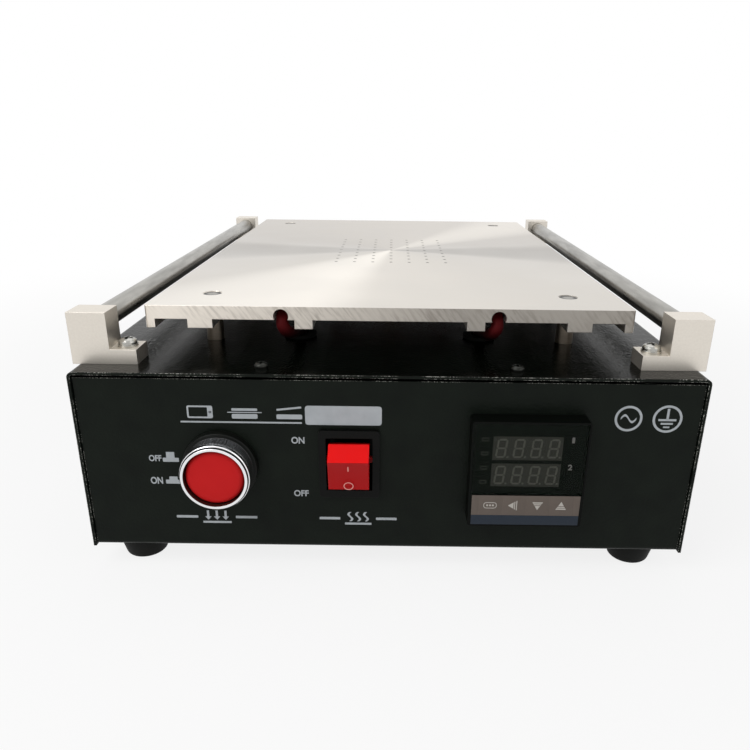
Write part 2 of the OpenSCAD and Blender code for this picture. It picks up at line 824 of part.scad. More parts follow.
module heating_plate() {
    color("#c9c7c3") on_case() difference() {
        translate([0, plate_end + plate_l, 0]) rotate([90, 0, 0]) linear_extrude(plate_l) plate_section();
        four_corners() translate([plate_screw_x, plate_screw_y, standoff_h - over])
            cylinder(d = m4_d + 2 * screw_hole_gap, h = plate_top_z - standoff_h + 2 * over);
        four_corners() translate([plate_screw_x, plate_screw_y, plate_top_z]) {
            translate([0, 0, -(countersink_d - m4_d) / 2])
                cylinder(d1 = m4_d, d2 = countersink_d, h = (countersink_d - m4_d) / 2);
            translate([0, 0, -countersink_sink]) cylinder(d = countersink_d, h = countersink_sink + over);
        }
        for (i = [0:hole_columns - 1], j = [0:hole_rows - 1])
            translate([(i - (hole_columns - 1) / 2) * hole_pitch,
                case_d / 2 + (j - (hole_rows - 1) / 2) * hole_pitch, deck_z - over])
                cylinder(d = hole_d, h = plate_t + 2 * over, $fn = 16);
        for (p = chamber_screw_places) translate([p[0], p[1], standoff_h - over])
            cylinder(d = m3_d + 2 * fit_gap, h = chamber_tap_depth + over);
        for (rear = [false, true]) end_of_case(rear) both_sides()
            translate([plate_w / 2, plate_end, standoff_h - over]) mirror([0, 1, 0])
                corner_cut(plate_corner_r, plate_top_z - standoff_h + 2 * over);
    }
}

module heater_rods() {
    color("#9c9a94") on_case() both_sides()
        translate([groove_x, heater_front, groove_z])
            bar_y(groove_d - 2 * heater_clearance, case_d - heater_back_inset - heater_front);
}

module heater_sleeve_left() {
    color("#8d1f22") on_case() tube_along(sleeve_left_route, sleeve_d);
}

module heater_sleeve_right() {
    color("#8d1f22") on_case() tube_along(sleeve_right_route, sleeve_d);
}

module lead_grommets() {
    color("#181818") on_case() {
        both_sides() translate([sleeve_hole_x, sleeve_hole_y, 0]) grommet(sleeve_hole_d, grommet_bore_d);
        translate([sensor_x, sensor_hole_y, 0]) grommet(sensor_hole_d, sensor_bore_d);
    }
}

module plate_standoffs() {
    color("#b9aa98") on_case() four_corners() translate([plate_screw_x, plate_screw_y, 0])
        ring(standoff_d, m4_d + 2 * screw_hole_gap, standoff_h);
}

module plate_screws() {
    color("#8f8f8d") on_case() four_corners()
        translate([plate_screw_x, plate_screw_y, plate_top_z - countersink_sink])
            sunk_screw(m4_d, plate_head_d, plate_top_z - countersink_sink + sheet_t + m4_nut_h + nut_end);
}

// Nuts of the plate screws, the bracket screws and the foot screws
module hex_nuts() {
    color("#a8a8a6") {
        on_case() translate([0, 0, -sheet_t - m4_nut_h]) four_corners() {
            translate([plate_screw_x, plate_screw_y, 0]) nut(m4_nut_w, m4_d, m4_nut_h);
            translate([bracket_screw_x, bracket_screw_y, 0]) nut(m4_nut_w, m4_d, m4_nut_h);
        }
        in_case() four_corners() translate([foot_x, foot_end_inset, sheet_t]) nut(m4_nut_w, m4_d, m4_nut_h);
    }
}

// Vacuum chamber: a lid and a gasket close the channel between the inner legs

module chamber_lid() {
    color("#b4b3ae") on_case() difference() {
        translate([-chamber_w / 2, (case_d - chamber_l) / 2, standoff_h - gasket_t - chamber_lid_t])
            cube([chamber_w, chamber_l, chamber_lid_t]);
        for (p = chamber_screw_places)
            translate([p[0], p[1], standoff_h - gasket_t - chamber_lid_t - over])
                cylinder(d = m3_d + 2 * screw_hole_gap, h = chamber_lid_t + 2 * over);
        translate([0, case_d / 2, standoff_h - gasket_t - chamber_lid_t - over])
            cylinder(d = fitting_bore_d, h = chamber_lid_t + 2 * over);
    }
}

module chamber_gasket() {
    dam_w = inner_leg_span - 2 * gasket_fit;
    color("#7d2624") on_case() difference() {
        union() {
            translate([-chamber_w / 2, (case_d - chamber_l) / 2, standoff_h - gasket_t])
                cube([chamber_w, chamber_l, gasket_t]);
            for (rear = [false, true]) end_of_case(rear)
                translate([-dam_w / 2, (case_d - chamber_l) / 2, standoff_h - gasket_t / 2])
                    cube([dam_w, chamber_end, leg_h + gasket_t / 2]);
        }
        translate([-inner_leg_span / 2, (case_d - chamber_l) / 2 + chamber_end, standoff_h - gasket_t - over])
            cube([inner_leg_span, chamber_l - 2 * chamber_end, gasket_t + 2 * over]);
        for (p = chamber_screw_places) translate([p[0], p[1], standoff_h - gasket_t - over])
            cylinder(d = m3_d + 2 * screw_hole_gap, h = gasket_t + 2 * over);
    }
}

module chamber_screws() {
    color("#a8a8a6") on_case() for (p = chamber_screw_places)
        translate([p[0], p[1], standoff_h - gasket_t - chamber_lid_t]) mirror([0, 0, 1])
            dome_screw(m3_d, m3_head_d, m3_head_h, chamber_screw_l);
}

module chamber_fitting() {
    lid_z = standoff_h - gasket_t - chamber_lid_t;
    color("#b8924a") on_case() translate([0, case_d / 2, 0]) difference() {
        union() {
            translate([0, 0, lid_z - fitting_hex_h]) cylinder(d = fitting_hex_w, h = fitting_hex_h, $fn = 6);
            translate([0, 0, -fitting_drop])
                cylinder(d = fitting_stem_d, h = fitting_drop + lid_z - fitting_hex_h / 2);
            for (i = [0:fitting_barbs - 1]) translate([0, 0, -fitting_drop + i * barb_pitch])
                cylinder(d1 = fitting_stem_d, d2 = fitting_barb_d, h = barb_pitch);
        }
        translate([0, 0, -fitting_drop + over]) cylinder(d = fitting_bore_d, h = fitting_drop + lid_z);
    }
}

module vacuum_hose() {
    color("#d8d4c8") in_case() tube_along(hose_route, hose_d);
}

// Wire guides

module guide_bracket(rear, side) {
    color("#d3d1cc") on_case() end_of_case(rear) on_side(side) difference() {
        union() {
            translate([bracket_out_x - bracket_l, bracket_inset, 0])
                cube([bracket_l, bracket_d, bracket_foot_t]);
            translate([bracket_out_x - upright_w, bracket_inset, 0])
                cube([upright_w, bracket_d, bracket_h]);
        }
        translate([roller_x, bracket_inset + bracket_d - roller_bore_depth, roller_rise])
            bar_y(roller_d + 2 * roller_clearance, roller_bore_depth + over);
        translate([bracket_screw_x, bracket_screw_y, -over])
            cylinder(d = m4_d + 2 * screw_hole_gap, h = bracket_foot_t + 2 * over);
    }
}

module guide_bracket_front_left() { guide_bracket(false, -1); }

module guide_bracket_front_right() { guide_bracket(false, 1); }

module guide_bracket_rear_left() { guide_bracket(true, -1); }

module guide_bracket_rear_right() { guide_bracket(true, 1); }

module guide_roller(side) {
    r = roller_d / 2;
    c = roller_chamfer;
    color("#8e8d8a") on_case() translate([side * roller_x, roller_front, roller_rise]) rotate([-90, 0, 0])
        rotate_extrude() polygon([
            [0, 0], [r - c, 0], [r, c], [r, roller_l - c], [r - c, roller_l], [0, roller_l]
        ]);
}

module guide_roller_left() { guide_roller(-1); }

module guide_roller_right() { guide_roller(1); }

module bracket_screws() {
    shank = bracket_foot_t + m4_washer_t + sheet_t + m4_nut_h + nut_end;
    color("#b7b7b5") on_case() four_corners() translate([bracket_screw_x, bracket_screw_y, bracket_foot_t]) {
        ring(m4_washer_d, m4_d + 2 * fit_gap, m4_washer_t);
        translate([0, 0, m4_washer_t]) dome_screw(m4_d, m4_head_d, m4_head_h, shank);
    }
}

// Feet

module rubber_foot(rear, side) {
    color("#161616") in_case() end_of_case(rear) on_side(side) translate([foot_x, foot_end_inset, -foot_h])
        rotate_extrude() polygon([
            [foot_recess_d / 2, 0], [foot_base_d / 2 - foot_edge, 0], [foot_base_d / 2, foot_edge],
            [foot_top_d / 2, foot_h], [m4_d / 2 + screw_hole_gap, foot_h],
            [m4_d / 2 + screw_hole_gap, foot_recess_h], [foot_recess_d / 2, foot_recess_h]
        ]);
}

module foot_front_left() { rubber_foot(false, -1); }

module foot_front_right() { rubber_foot(false, 1); }

module foot_rear_left() { rubber_foot(true, -1); }

module foot_rear_right() { rubber_foot(true, 1); }

module foot_screws() {
    shank = foot_h - foot_recess_h + m4_washer_t + sheet_t + m4_nut_h + nut_end;
    color("#a8a8a6") in_case() four_corners() translate([foot_x, foot_end_inset, foot_recess_h - foot_h])
        mirror([0, 0, 1]) {
            ring(m4_washer_d, m4_d + 2 * fit_gap, m4_washer_t);
            translate([0, 0, m4_washer_t]) dome_screw(m4_d, m4_head_d, m4_head_h, shank);
        }
}

// Suction button

module at_button() { out_of_front(-button_left, button_rise) children(); }

module button_collar() {
    color("#141414") at_button() ring(collar_d, button_body_d + 2 * fit_gap, collar_t);
}

module button_bezel() {
    floor_z = collar_t + bezel_floor_t;
    grip_h = button_proud - collar_t - bezel_front_h / 2;
    color("#d9d9d9") at_button() difference() {
        union() {
            translate([0, 0, collar_t]) linear_extrude(grip_h) polygon([
                for (i = [0:grip_rib_count - 1], p = grip_rib)
                    let (turn = 360 * (i + p[0]) / grip_rib_count, r = bezel_grip_d / 2 + p[1])
                        [r * cos(turn), r * sin(turn)]
            ]);
            translate([0, 0, button_proud - bezel_front_h]) cylinder(d = bezel_d, h = bezel_front_h);
        }
        translate([0, 0, floor_z]) cylinder(d = cap_d + 2 * cap_gap, h = button_proud);
        translate([0, 0, -over]) cylinder(d = button_body_d + 2 * fit_gap, h = button_proud);
    }
}

module button_cap() {
    color("#b32025") at_button() union() {
        translate([0, 0, button_proud - cap_sink - cap_t]) cylinder(d = cap_d, h = cap_t);
        translate([0, 0, button_proud - cap_sink - cap_t - stem_l])
            cylinder(d = stem_d, h = stem_l + cap_t / 2);
    }
}

module button_body() {
    color("#1b1b1b") at_button() difference() {
        union() {
            translate([0, 0, -button_neck_l])
                cylinder(d = button_body_d, h = button_neck_l + collar_t + bezel_floor_t);
            translate([-button_block_w / 2, -button_block_w / 2, -button_neck_l - button_block_l])
                cube([button_block_w, button_block_w, button_block_l]);
        }
        translate([0, 0, collar_t + bezel_floor_t - stem_bore_l])
            cylinder(d = stem_d + 2 * stem_clearance, h = stem_bore_l + over);
    }
}

module button_nut() {
    color("#b9b9b7") at_button() translate([0, 0, -sheet_t - button_nut_t])
        nut(button_nut_d, button_body_d, button_nut_t);
}

// Heating switch

module at_rocker() {
    in_case() translate([-rocker_left, 0, rocker_rise]) children();
}

module rocker_frame() {
    cavity_l = rocker_body_l - rocker_floor_t;
    color("#101010") at_rocker() difference() {
        union() {
            rotate([90, 0, 0]) slab(rocker_frame_w, rocker_frame_h, rocker_frame_t, rocker_corner_r);
            translate([-rocker_body_w / 2, -rocker_frame_t / 2, -rocker_body_h / 2])
                cube([rocker_body_w, rocker_body_l + rocker_frame_t / 2, rocker_body_h]);
        }
        translate([-rocker_open_w / 2, -rocker_frame_t - over, -rocker_open_h / 2])
            cube([rocker_open_w, cavity_l + rocker_frame_t + over, rocker_open_h]);
        both_sides() translate([0, rocker_pivot_y, rocker_pivot_z]) rotate([0, 90, 0])
            cylinder(d = rocker_pin_d + 2 * stem_clearance, h = rocker_w / 2 + rocker_pin_end);
    }
}

module rocker_profile() {
    dish_y = sqrt(rocker_dish_r * rocker_dish_r - rocker_face_h * rocker_face_h / 4);
    difference() {
        union() {
            polygon([
                [-rocker_face_y, rocker_face_h / 2], [-rocker_face_y, -rocker_face_h / 2],
                [-rocker_base_y, -rocker_base_h / 2], [0, -rocker_hub_r],
                [0, rocker_hub_r], [-rocker_base_y, rocker_base_h / 2]
            ]);
            intersection() {
                circle(r = rocker_hub_r);
                translate([-rocker_base_y, -rocker_hub_r])
                    square([rocker_base_y + rocker_hub_y, 2 * rocker_hub_r]);
            }
        }
        translate([-rocker_face_y - dish_y, 0]) circle(r = rocker_dish_r, $fn = rocker_dish_sides);
    }
}

module rocker_actuator() {
    color("#c22024") at_rocker() translate([0, rocker_pivot_y, rocker_pivot_z])
        rotate([rocker_tilt, 0, 0]) union() {
            translate([-rocker_w / 2, 0, 0]) rotate([90, 0, 90]) linear_extrude(rocker_w) rocker_profile();
            translate([-rocker_w / 2 - rocker_pin_end + stem_clearance, 0, 0]) rotate([0, 90, 0])
                cylinder(d = rocker_pin_d, h = rocker_w + 2 * rocker_pin_end - 2 * stem_clearance);
        }
}

module rocker_terminals() {
    color("#c9a24f") at_rocker() for (x = [-1, 1], z = [-1, 1])
        translate([x * blade_x - blade_t / 2, rocker_body_l, z * blade_z - blade_w / 2])
            cube([blade_t, blade_l, blade_w]);
}

// Temperature controller

module at_controller() { out_of_front(controller_right, controller_rise) children(); }

module key_place(i) {
    translate([(i - (key_count - 1) / 2) * key_pitch, key_row_z, controller_proud - face_depth]) children();
}

module digit_place(z) {
    translate([digit_x - digit_w / 2, z - digit_h / 2, controller_proud - face_depth - digit_t]) children();
}

module controller_case() {
    inner = controller_case_side - 2 * controller_wall;
    color("#1d1d1e") at_controller() mirror([0, 0, 1]) difference() {
        translate([-controller_case_side / 2, -controller_case_side / 2, 0])
            cube([controller_case_side, controller_case_side, controller_depth]);
        translate([-inner / 2, -inner / 2, controller_wall])
            cube([inner, inner, controller_depth - 2 * controller_wall]);
    }
}

module controller_bezel() {
    color("#161617") at_controller() difference() {
        slab(controller_side, controller_side, controller_proud, controller_corner_r);
        translate([-face_side / 2, window_low, controller_proud - face_depth])
            cube([face_side, window_top - window_low, face_depth + over]);
        translate([-2 * key_pitch, key_row_z - key_h / 2 - key_gap, controller_proud - face_depth])
            cube([4 * key_pitch, key_h + 2 * key_gap, face_depth + over]);
        for (z = digit_z) digit_place(z) cube([digit_w, digit_h, digit_t + over]);
        for (i = [0:3]) key_place(i) translate([0, 0, -key_stem_l - key_travel - key_gap])
            cylinder(d = key_stem_d + 2 * stem_clearance, h = controller_proud);
    }
}

module controller_window() {
    color([0.10, 0.09, 0.09, 0.6]) at_controller()
        translate([-face_side / 2, window_low, controller_proud - face_depth])
            cube([face_side, window_top - window_low, face_depth]);
}

module digit_displays() {
    color("#3a3836") at_controller() for (z = digit_z) digit_place(z) cube([digit_w, digit_h, digit_t]);
}

module controller_key(i) {
    color("#6d6663") at_controller() key_place(i) union() {
        translate([-key_w / 2, -key_h / 2, face_depth - key_t + key_travel])
            cube([key_w, key_h, key_t - key_travel]);
        translate([0, 0, -key_stem_l]) cylinder(d = key_stem_d, h = key_stem_l + face_depth - key_t / 2);
    }
}

module key_set() { controller_key(0); }

module key_shift() { controller_key(1); }

module key_down() { controller_key(2); }

module key_up() { controller_key(3); }

module controller_clamp() {
    inner = controller_case_side + 2 * clamp_gap;
    outer = inner + 2 * clamp_wall;
    color("#2a2a2b") at_controller() translate([0, 0, -sheet_t - clamp_t]) difference() {
        translate([-outer / 2, -outer / 2, 0]) cube([outer, outer, clamp_t]);
        translate([-inner / 2, -inner / 2, -over]) cube([inner, inner, clamp_t + 2 * over]);
    }
}

// Vacuum pump

module pump_motor() {
    color("#9a9a98") in_case() translate([pump_x, motor_y, pump_z]) difference() {
        union() {
            bar_y(2 * motor_r, motor_l);
            translate([0, -motor_boss_l, 0]) bar_y(motor_boss_d, motor_boss_l + motor_l / 2);
        }
        translate([0, -motor_boss_l - over, 0])
            bar_y(motor_shaft_d + 2 * stem_clearance, motor_bore_l + motor_boss_l + over);
    }
}

module pump_rotor() {
    color("#c4c4c2") in_case() translate([pump_x, 0, pump_z]) union() {
        translate([0, motor_y - shaft_nose, 0]) bar_y(motor_shaft_d, shaft_nose + shaft_tail);
        translate([0, crank_disc_y, crank_offset]) bar_y(crank_disc_d, crank_disc_t);
        translate([0, counterweight_y, 0]) intersection() {
            bar_y(2 * counterweight_r, counterweight_t);
            translate([-counterweight_r, -over, -counterweight_r])
                cube([2 * counterweight_r, counterweight_t + 2 * over, counterweight_r + motor_shaft_d / 2]);
        }
    }
}

module pump_crankcase() {
    slot = rod_w + 2 * rod_slot_gap + 2 * crank_offset;
    slot_l = crank_disc_y - crankcase_y + crank_disc_t + rod_slot_gap - crankcase_wall;
    color("#3b3d3f") in_case() translate([pump_x, crankcase_y, pump_z]) difference() {
        translate([-motor_r, 0, -motor_r]) cube([2 * motor_r, crankcase_l, 2 * motor_r]);
        translate([0, crankcase_wall, 0]) bar_y(2 * crank_chamber_r, crankcase_l - 2 * crankcase_wall);
        translate([0, crankcase_l / 2, 0]) bar_y(motor_boss_d + 2 * screw_hole_gap, crankcase_l);
        translate([-slot / 2, crankcase_wall, 0])
            cube([slot, slot_l, motor_r + over]);
    }
}

// The rod's eye leaves room for the crank to turn while the rod stands still
module pump_diaphragm() {
    eye_r = crank_disc_d / 2 + crank_offset + crank_gap;
    color("#2b2b2b") in_case() translate([pump_x, crank_disc_y, pump_z]) union() {
        difference() {
            union() {
                bar_y(2 * (eye_r + rod_eye_wall), crank_disc_t);
                translate([-rod_w / 2, 0, 0]) cube([rod_w, crank_disc_t, motor_r + diaphragm_t / 2]);
            }
            translate([0, -over, 0]) bar_y(2 * eye_r, crank_disc_t + 2 * over);
        }
        translate([0, crankcase_y + crankcase_l / 2 - crank_disc_y, motor_r])
            cylinder(d = diaphragm_d, h = diaphragm_t);
    }
}

module pump_head() {
    color("#2f3133") in_case() translate([pump_x, crankcase_y, pump_z + motor_r + diaphragm_t]) {
        translate([-motor_r, 0, 0]) cube([2 * motor_r, crankcase_l, pump_head_h]);
        for (side = [-1, 1]) translate([0, crankcase_l / 2, pump_head_h / 2]) rotate([0, side * 90, 0]) {
            cylinder(d = fitting_stem_d, h = motor_r + pump_barb_l);
            for (i = [0:fitting_barbs - 1]) translate([0, 0, motor_r + pump_barb_l - (i + 1) * barb_pitch])
                cylinder(d1 = fitting_barb_d, d2 = fitting_stem_d, h = barb_pitch);
        }
    }
}

module pump_bracket() {
    w = pump_bracket_w / 2;
    t = pump_bracket_t;
    h = pump_bracket_top - sheet_t;
    f = pump_bracket_foot;
    l = crankcase_l + motor_l;
    color("#8c8c8a") in_case() translate([pump_x, crankcase_y, sheet_t]) difference() {
        translate([0, l, 0]) rotate([90, 0, 0]) linear_extrude(l) polygon([
            [-w - f, 0], [-w, 0], [-w, h - t], [w, h - t], [w, 0], [w + f, 0], [w + f, t], [w + t, t],
            [w + t, h], [-w - t, h], [-w - t, t], [-w - f, t]
        ]);
        for (side = [-1, 1], y = [pump_screw_ends, l - pump_screw_ends])
            translate([side * (w + f / 2), y, -over]) cylinder(d = m3_d + 2 * fit_gap, h = t + 2 * over);
    }
}

// Screws that hold the equipment to the tray from below, and the inlet to the rear panel
module chassis_screws() {
    color("#a8a8a6") {
        in_case() for (p = chassis_places) translate([p[0], p[1], 0]) mirror([0, 0, 1])
            dome_screw(m3_d, m3_head_d, m3_head_h, sheet_t + p[2]);
        for (side = [-1, 1]) out_of_rear(inlet_x + side * inlet_screw_x, inlet_rise)
            translate([0, 0, inlet_proud]) sunk_screw(m3_d, m3_head_d, inlet_proud + sheet_t + nut_end);
    }
}

// Relay, power supply and terminal block

module solid_state_relay() {
    color("#c9c6bd") in_case() translate([relay_x, relay_y, sheet_t]) difference() {
        translate([-relay_w / 2, 0, 0]) cube([relay_w, relay_l, relay_h]);
        for (y = [relay_screw_end, relay_l - relay_screw_end]) translate([0, y, -over])
            cylinder(d = m3_d + 2 * fit_gap, h = chassis_screw_l + 2 * over);
    }
}

module power_supply() {
    color("#a3a5a6") in_case() translate([supply_x - supply_w / 2, supply_y, sheet_t])
        difference() {
            cube([supply_w, supply_l, supply_h]);
            translate([supply_wall, supply_wall, supply_wall])
                cube([supply_w - 2 * supply_wall, supply_l - 2 * supply_wall, supply_h - 2 * supply_wall]);
            for (x = [supply_screw_inset, supply_w - supply_screw_inset],
                y = [supply_screw_inset, supply_l - supply_screw_inset])
                translate([x, y, -over]) cylinder(d = m3_d + 2 * fit_gap, h = supply_wall + 2 * over);
        }
}

module terminal_block() {
    color("#e2e0d6") in_case() translate([-terminal_w / 2, terminal_y, sheet_t]) difference() {
        cube([terminal_w, terminal_l, terminal_h]);
        for (i = [0:terminal_ways - 1])
            translate([terminal_w / 2 + (i - (terminal_ways - 1) / 2) * terminal_way_w - terminal_way_w / 4,
                (terminal_l - terminal_way_l) / 2, terminal_h - terminal_way_depth])
                cube([terminal_way_w / 2, terminal_way_l, terminal_way_depth + over]);
        for (side = [-1, 1]) translate([terminal_w / 2 + side * terminal_screw_x, terminal_l / 2, -over])
            cylinder(d = m3_d + 2 * fit_gap, h = chassis_screw_l + 2 * over);
    }
}

// Power inlet

module at_inlet() { out_of_rear(inlet_x, inlet_rise) children(); }

module power_inlet() {
    color("#121212") at_inlet() difference() {
        union() {
            slab(inlet_flange_w, inlet_flange_h, inlet_proud, inlet_corner_r);
            translate([-inlet_body_w / 2, -inlet_body_h / 2, -inlet_body_l])
                cube([inlet_body_w, inlet_body_h, inlet_body_l + inlet_proud / 2]);
        }
        translate([-socket_w / 2, -socket_h / 2, inlet_proud - socket_depth])
            cube([socket_w, socket_h, socket_depth + over]);
        for (side = [-1, 1]) translate([side * inlet_screw_x, 0, -over]) {
            cylinder(d = m3_d + 2 * fit_gap, h = inlet_proud + 2 * over);
            translate([0, 0, over + inlet_proud - (m3_head_d - m3_d) / 2])
                cylinder(d1 = m3_d, d2 = m3_head_d, h = (m3_head_d - m3_d) / 2);
            translate([0, 0, over + inlet_proud]) cylinder(d = m3_head_d, h = over);
        }
    }
}

module inlet_pins() {
    color("#c7c5bf") at_inlet() for (i = [-1, 0, 1]) {
        z = i == 0 ? inlet_pin_z : -inlet_pin_z;
        translate([i * inlet_pin_x - inlet_pin_w / 2, z - inlet_pin_h / 2, inlet_proud - socket_depth])
            cube([inlet_pin_w, inlet_pin_h, inlet_pin_l]);
        translate([i * inlet_pin_x - blade_t / 2, z - blade_w / 2, -inlet_body_l - inlet_tab_l])
            cube([blade_t, blade_w, inlet_tab_l]);
    }
}

// Temperature sensor and its lead, held under the deck by a clip
module sensor_probe() {
    probe_z = deck_z - sensor_d / 2;
    color("#8a8a88") on_case() {
        translate([sensor_x, sensor_y, probe_z]) bar_y(sensor_d, sensor_l);
        translate([sensor_x - sensor_clip_w / 2, sensor_y + sensor_l / 2 - sensor_clip_l / 2,
            deck_z - sensor_d - sensor_clip_t])
            difference() {
                cube([sensor_clip_w, sensor_clip_l, sensor_d + sensor_clip_t]);
                translate([(sensor_clip_w - sensor_d) / 2, -over, sensor_clip_t])
                    cube([sensor_d, sensor_clip_l + 2 * over, sensor_d + over]);
            }
        tube_along(sensor_route, lead_d);
    }
}

// Leads inside the case
module wiring() {
    color("#3a3a3a") in_case() {
        tube_along(rocker_mains_route, mains_d);
        tube_along(rocker_output_route, mains_d);
        tube_along(supply_route, signal_d);
        tube_along(controller_route, signal_d);
        tube_along(button_route, signal_d);
        tube_along(motor_route, signal_d);
        tube_along(relay_route, signal_d);
    }
}

base_tray();
top_cover();
heating_plate();
heater_rods();
heater_sleeve_left();
heater_sleeve_right();
lead_grommets();
plate_standoffs();
plate_screws();
hex_nuts();
chamber_lid();
chamber_gasket();
chamber_screws();
chamber_fitting();
vacuum_hose();
guide_bracket_front_left();
guide_bracket_front_right();
guide_bracket_rear_left();
guide_bracket_rear_right();
guide_roller_left();
guide_roller_right();
bracket_screws();
cover_screws();
foot_front_left();
foot_front_right();
foot_rear_left();
foot_rear_right();
foot_screws();
button_bezel();
button_collar();
button_cap();
button_body();
button_nut();
rocker_frame();
rocker_actuator();
rocker_terminals();
controller_case();
controller_bezel();
controller_window();
digit_displays();
key_set();
key_shift();
key_down();
key_up();
controller_clamp();
pump_motor();
pump_rotor();
pump_crankcase();
pump_head();
pump_diaphragm();
pump_bracket();
chassis_screws();
solid_state_relay();
power_supply();
terminal_block();
power_inlet();
inlet_pins();
sensor_probe();
wiring();
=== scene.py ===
"""Vacuum hot plate for separating tablet screens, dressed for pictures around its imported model.
Lengths are in millimetres here, in the model's frame (front panel towards -Y, Z up), and are
turned to metres where they enter a mesh, a shader or the camera. The floor and the lamps are laid
out in metres."""

import math

import bmesh
import bpy
import numpy as np
from mathutils import Matrix, Vector


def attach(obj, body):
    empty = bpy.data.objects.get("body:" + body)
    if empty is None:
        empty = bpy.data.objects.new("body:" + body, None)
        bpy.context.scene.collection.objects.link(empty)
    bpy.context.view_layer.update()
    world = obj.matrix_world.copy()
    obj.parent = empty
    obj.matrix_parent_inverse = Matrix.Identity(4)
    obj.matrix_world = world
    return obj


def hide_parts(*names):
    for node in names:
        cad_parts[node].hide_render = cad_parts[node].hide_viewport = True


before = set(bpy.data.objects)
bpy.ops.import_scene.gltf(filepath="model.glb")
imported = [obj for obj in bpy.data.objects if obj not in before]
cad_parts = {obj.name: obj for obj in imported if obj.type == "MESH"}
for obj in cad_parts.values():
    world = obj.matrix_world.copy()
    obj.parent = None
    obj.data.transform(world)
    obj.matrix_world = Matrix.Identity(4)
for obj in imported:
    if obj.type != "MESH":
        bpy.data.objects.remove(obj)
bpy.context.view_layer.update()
mm = 0.001

# Base tray and top cover: cold rolled steel sheet, punched and folded, under a black polyester
# powder coat that cures to fine wrinkles. The cover is a channel laid over the tray's flanges.


def linear(hex_colour):
    """An sRGB hex colour as the linear one that a shader takes."""
    c = np.array([int(hex_colour[i : i + 2], 16) for i in (1, 3, 5)]) / 255
    return (*np.where(c > 0.04045, ((c + 0.055) / 1.055) ** 2.4, c / 12.92), 1)


def add(tree, kind, sockets, **settings):
    """Adds a node with its settings, and sets each socket to a value or links it to an output. A
    node given as a value stands for the first output that it has in use."""
    node = tree.nodes.new("ShaderNode" + kind)
    for setting, value in settings.items():
        setattr(node, setting, value)
    for socket, value in sockets.items():
        if isinstance(value, bpy.types.Node):
            value = next(output for output in value.outputs if output.enabled)
        if isinstance(value, bpy.types.NodeSocket):
            tree.links.new(value, node.inputs[socket])
        else:
            node.inputs[socket].default_value = value
    return node


def new_material(name):
    """A material, its node tree, whose first node gives places, and the place on the piece in metres."""
    material = bpy.data.materials.new(name)
    material.use_nodes = True
    tree = material.node_tree
    tree.nodes.clear()
    return material, tree, add(tree, "TexCoord", {}).outputs["Object"]


def dress(material, *nodes):
    """Gives CAD nodes their material."""
    for node in nodes:
        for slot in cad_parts[node].material_slots:
            slot.material = material


# Wrinkle powder coat: dark, half glossy, with painted highlights: pale specks in its colour on crests of its
# wrinkles along folds and edges, where some of them would face the lamp. Real crests are 0.5 mm apart, too
# fine to show.
wrinkle = 1.2
coat, tree, place = new_material("black_wrinkle_powder_coat")
crests = add(tree, "TexNoise", {"Vector": place, "Scale": 1 / (wrinkle * mm)})
clouds = add(tree, "TexNoise", {"Vector": place, "Scale": 1 / (9 * wrinkle * mm), "Detail": 1.0})
rounded = add(tree, "Bevel", {"Radius": 0.5 * mm}, samples=6)
wrinkles = add(tree, "Bump", {"Height": crests, "Strength": 0.55, "Distance": 0.25 * mm, "Normal": rounded})
flat = add(tree, "NewGeometry", {})
lean = add(tree, "VectorMath", {0: flat.outputs["Normal"], 1: rounded}, operation="DOT_PRODUCT")
edges = add(tree, "MapRange", {"Value": lean, "From Min": 0.99, "From Max": 0.92})
specks = add(tree, "TexNoise", {"Vector": place, "Scale": 2 / (wrinkle * mm)})
peaks = add(tree, "MapRange", {"Value": specks, "From Min": 0.48, "From Max": 0.62})
glint_patches = add(tree, "MapRange", {"Value": clouds, "From Min": 0.38, "From Max": 0.55})
many = add(tree, "Math", {0: glint_patches, 1: peaks}, operation="MULTIPLY")
# Pale specks along edges and folds, mixed into the colour: painted highlights
painted_glints = add(tree, "Math", {0: edges, 1: many}, operation="MULTIPLY")
dark = add(tree, "Mix", {0: clouds, 6: linear("#0e120f"), 7: linear("#181e18")}, data_type="RGBA")
# The coat lies thicker and glossier on what faced up in the oven, and rolls like orange peel; its
# colour there is also painted darker, as painted shade
facing = add(tree, "SeparateXYZ", {0: flat.outputs["Normal"]})
level = add(tree, "MapRange", {"Value": facing.outputs[2], "From Min": 0.8, "From Max": 0.95})
shaded_top = add(tree, "Mix", {0: level, 6: dark, 7: linear("#040604")}, data_type="RGBA")
tone = add(tree, "Mix", {0: painted_glints, 6: shaded_top, 7: linear("#dcdcd3")}, data_type="RGBA")
sheen = add(tree, "MapRange", {"Value": clouds, "To Min": 0.3, "To Max": 0.44})
peel = add(tree, "TexNoise", {"Vector": place, "Scale": 1 / (4 * wrinkle * mm)})
swell = add(tree, "Math", {0: peel, 1: level}, operation="MULTIPLY")
relief = add(tree, "Bump", {"Height": swell, "Strength": 0.6, "Distance": 0.16 * mm, "Normal": wrinkles})
smooth_top = add(tree, "MapRange", {"Value": clouds, "To Min": 0.12, "To Max": 0.2})
gloss = add(tree, "Mix", {0: level, 2: sheen, 3: smooth_top}, data_type="FLOAT")
skin = add(
    tree, "BsdfPrincipled",
    {"Base Color": tone, "Roughness": gloss, "Specular IOR Level": 0.085, "Normal": relief},
)
add(tree, "OutputMaterial", {"Surface": skin})
dress(coat, "base_tray", "top_cover")

# Feet: four rubber cones with a sunk screw each, and the nuts that hold screws from inside.
# Moulded black rubber, dusty and matte; the screws are zinc plated.


def finished(tree, height, strength, depth, edge, sockets):
    """Ends a material: its surface has the relief of a height, and edges that catch light as if
    rounded. Depth and edge in mm."""
    rounded = add(tree, "Bevel", {"Radius": edge * mm}, samples=4)
    relief = add(
        tree, "Bump",
        {"Height": height, "Strength": strength, "Distance": depth * mm, "Normal": rounded},
    )
    surface = add(tree, "BsdfPrincipled", {**sockets, "Normal": relief})
    add(tree, "OutputMaterial", {"Surface": surface})


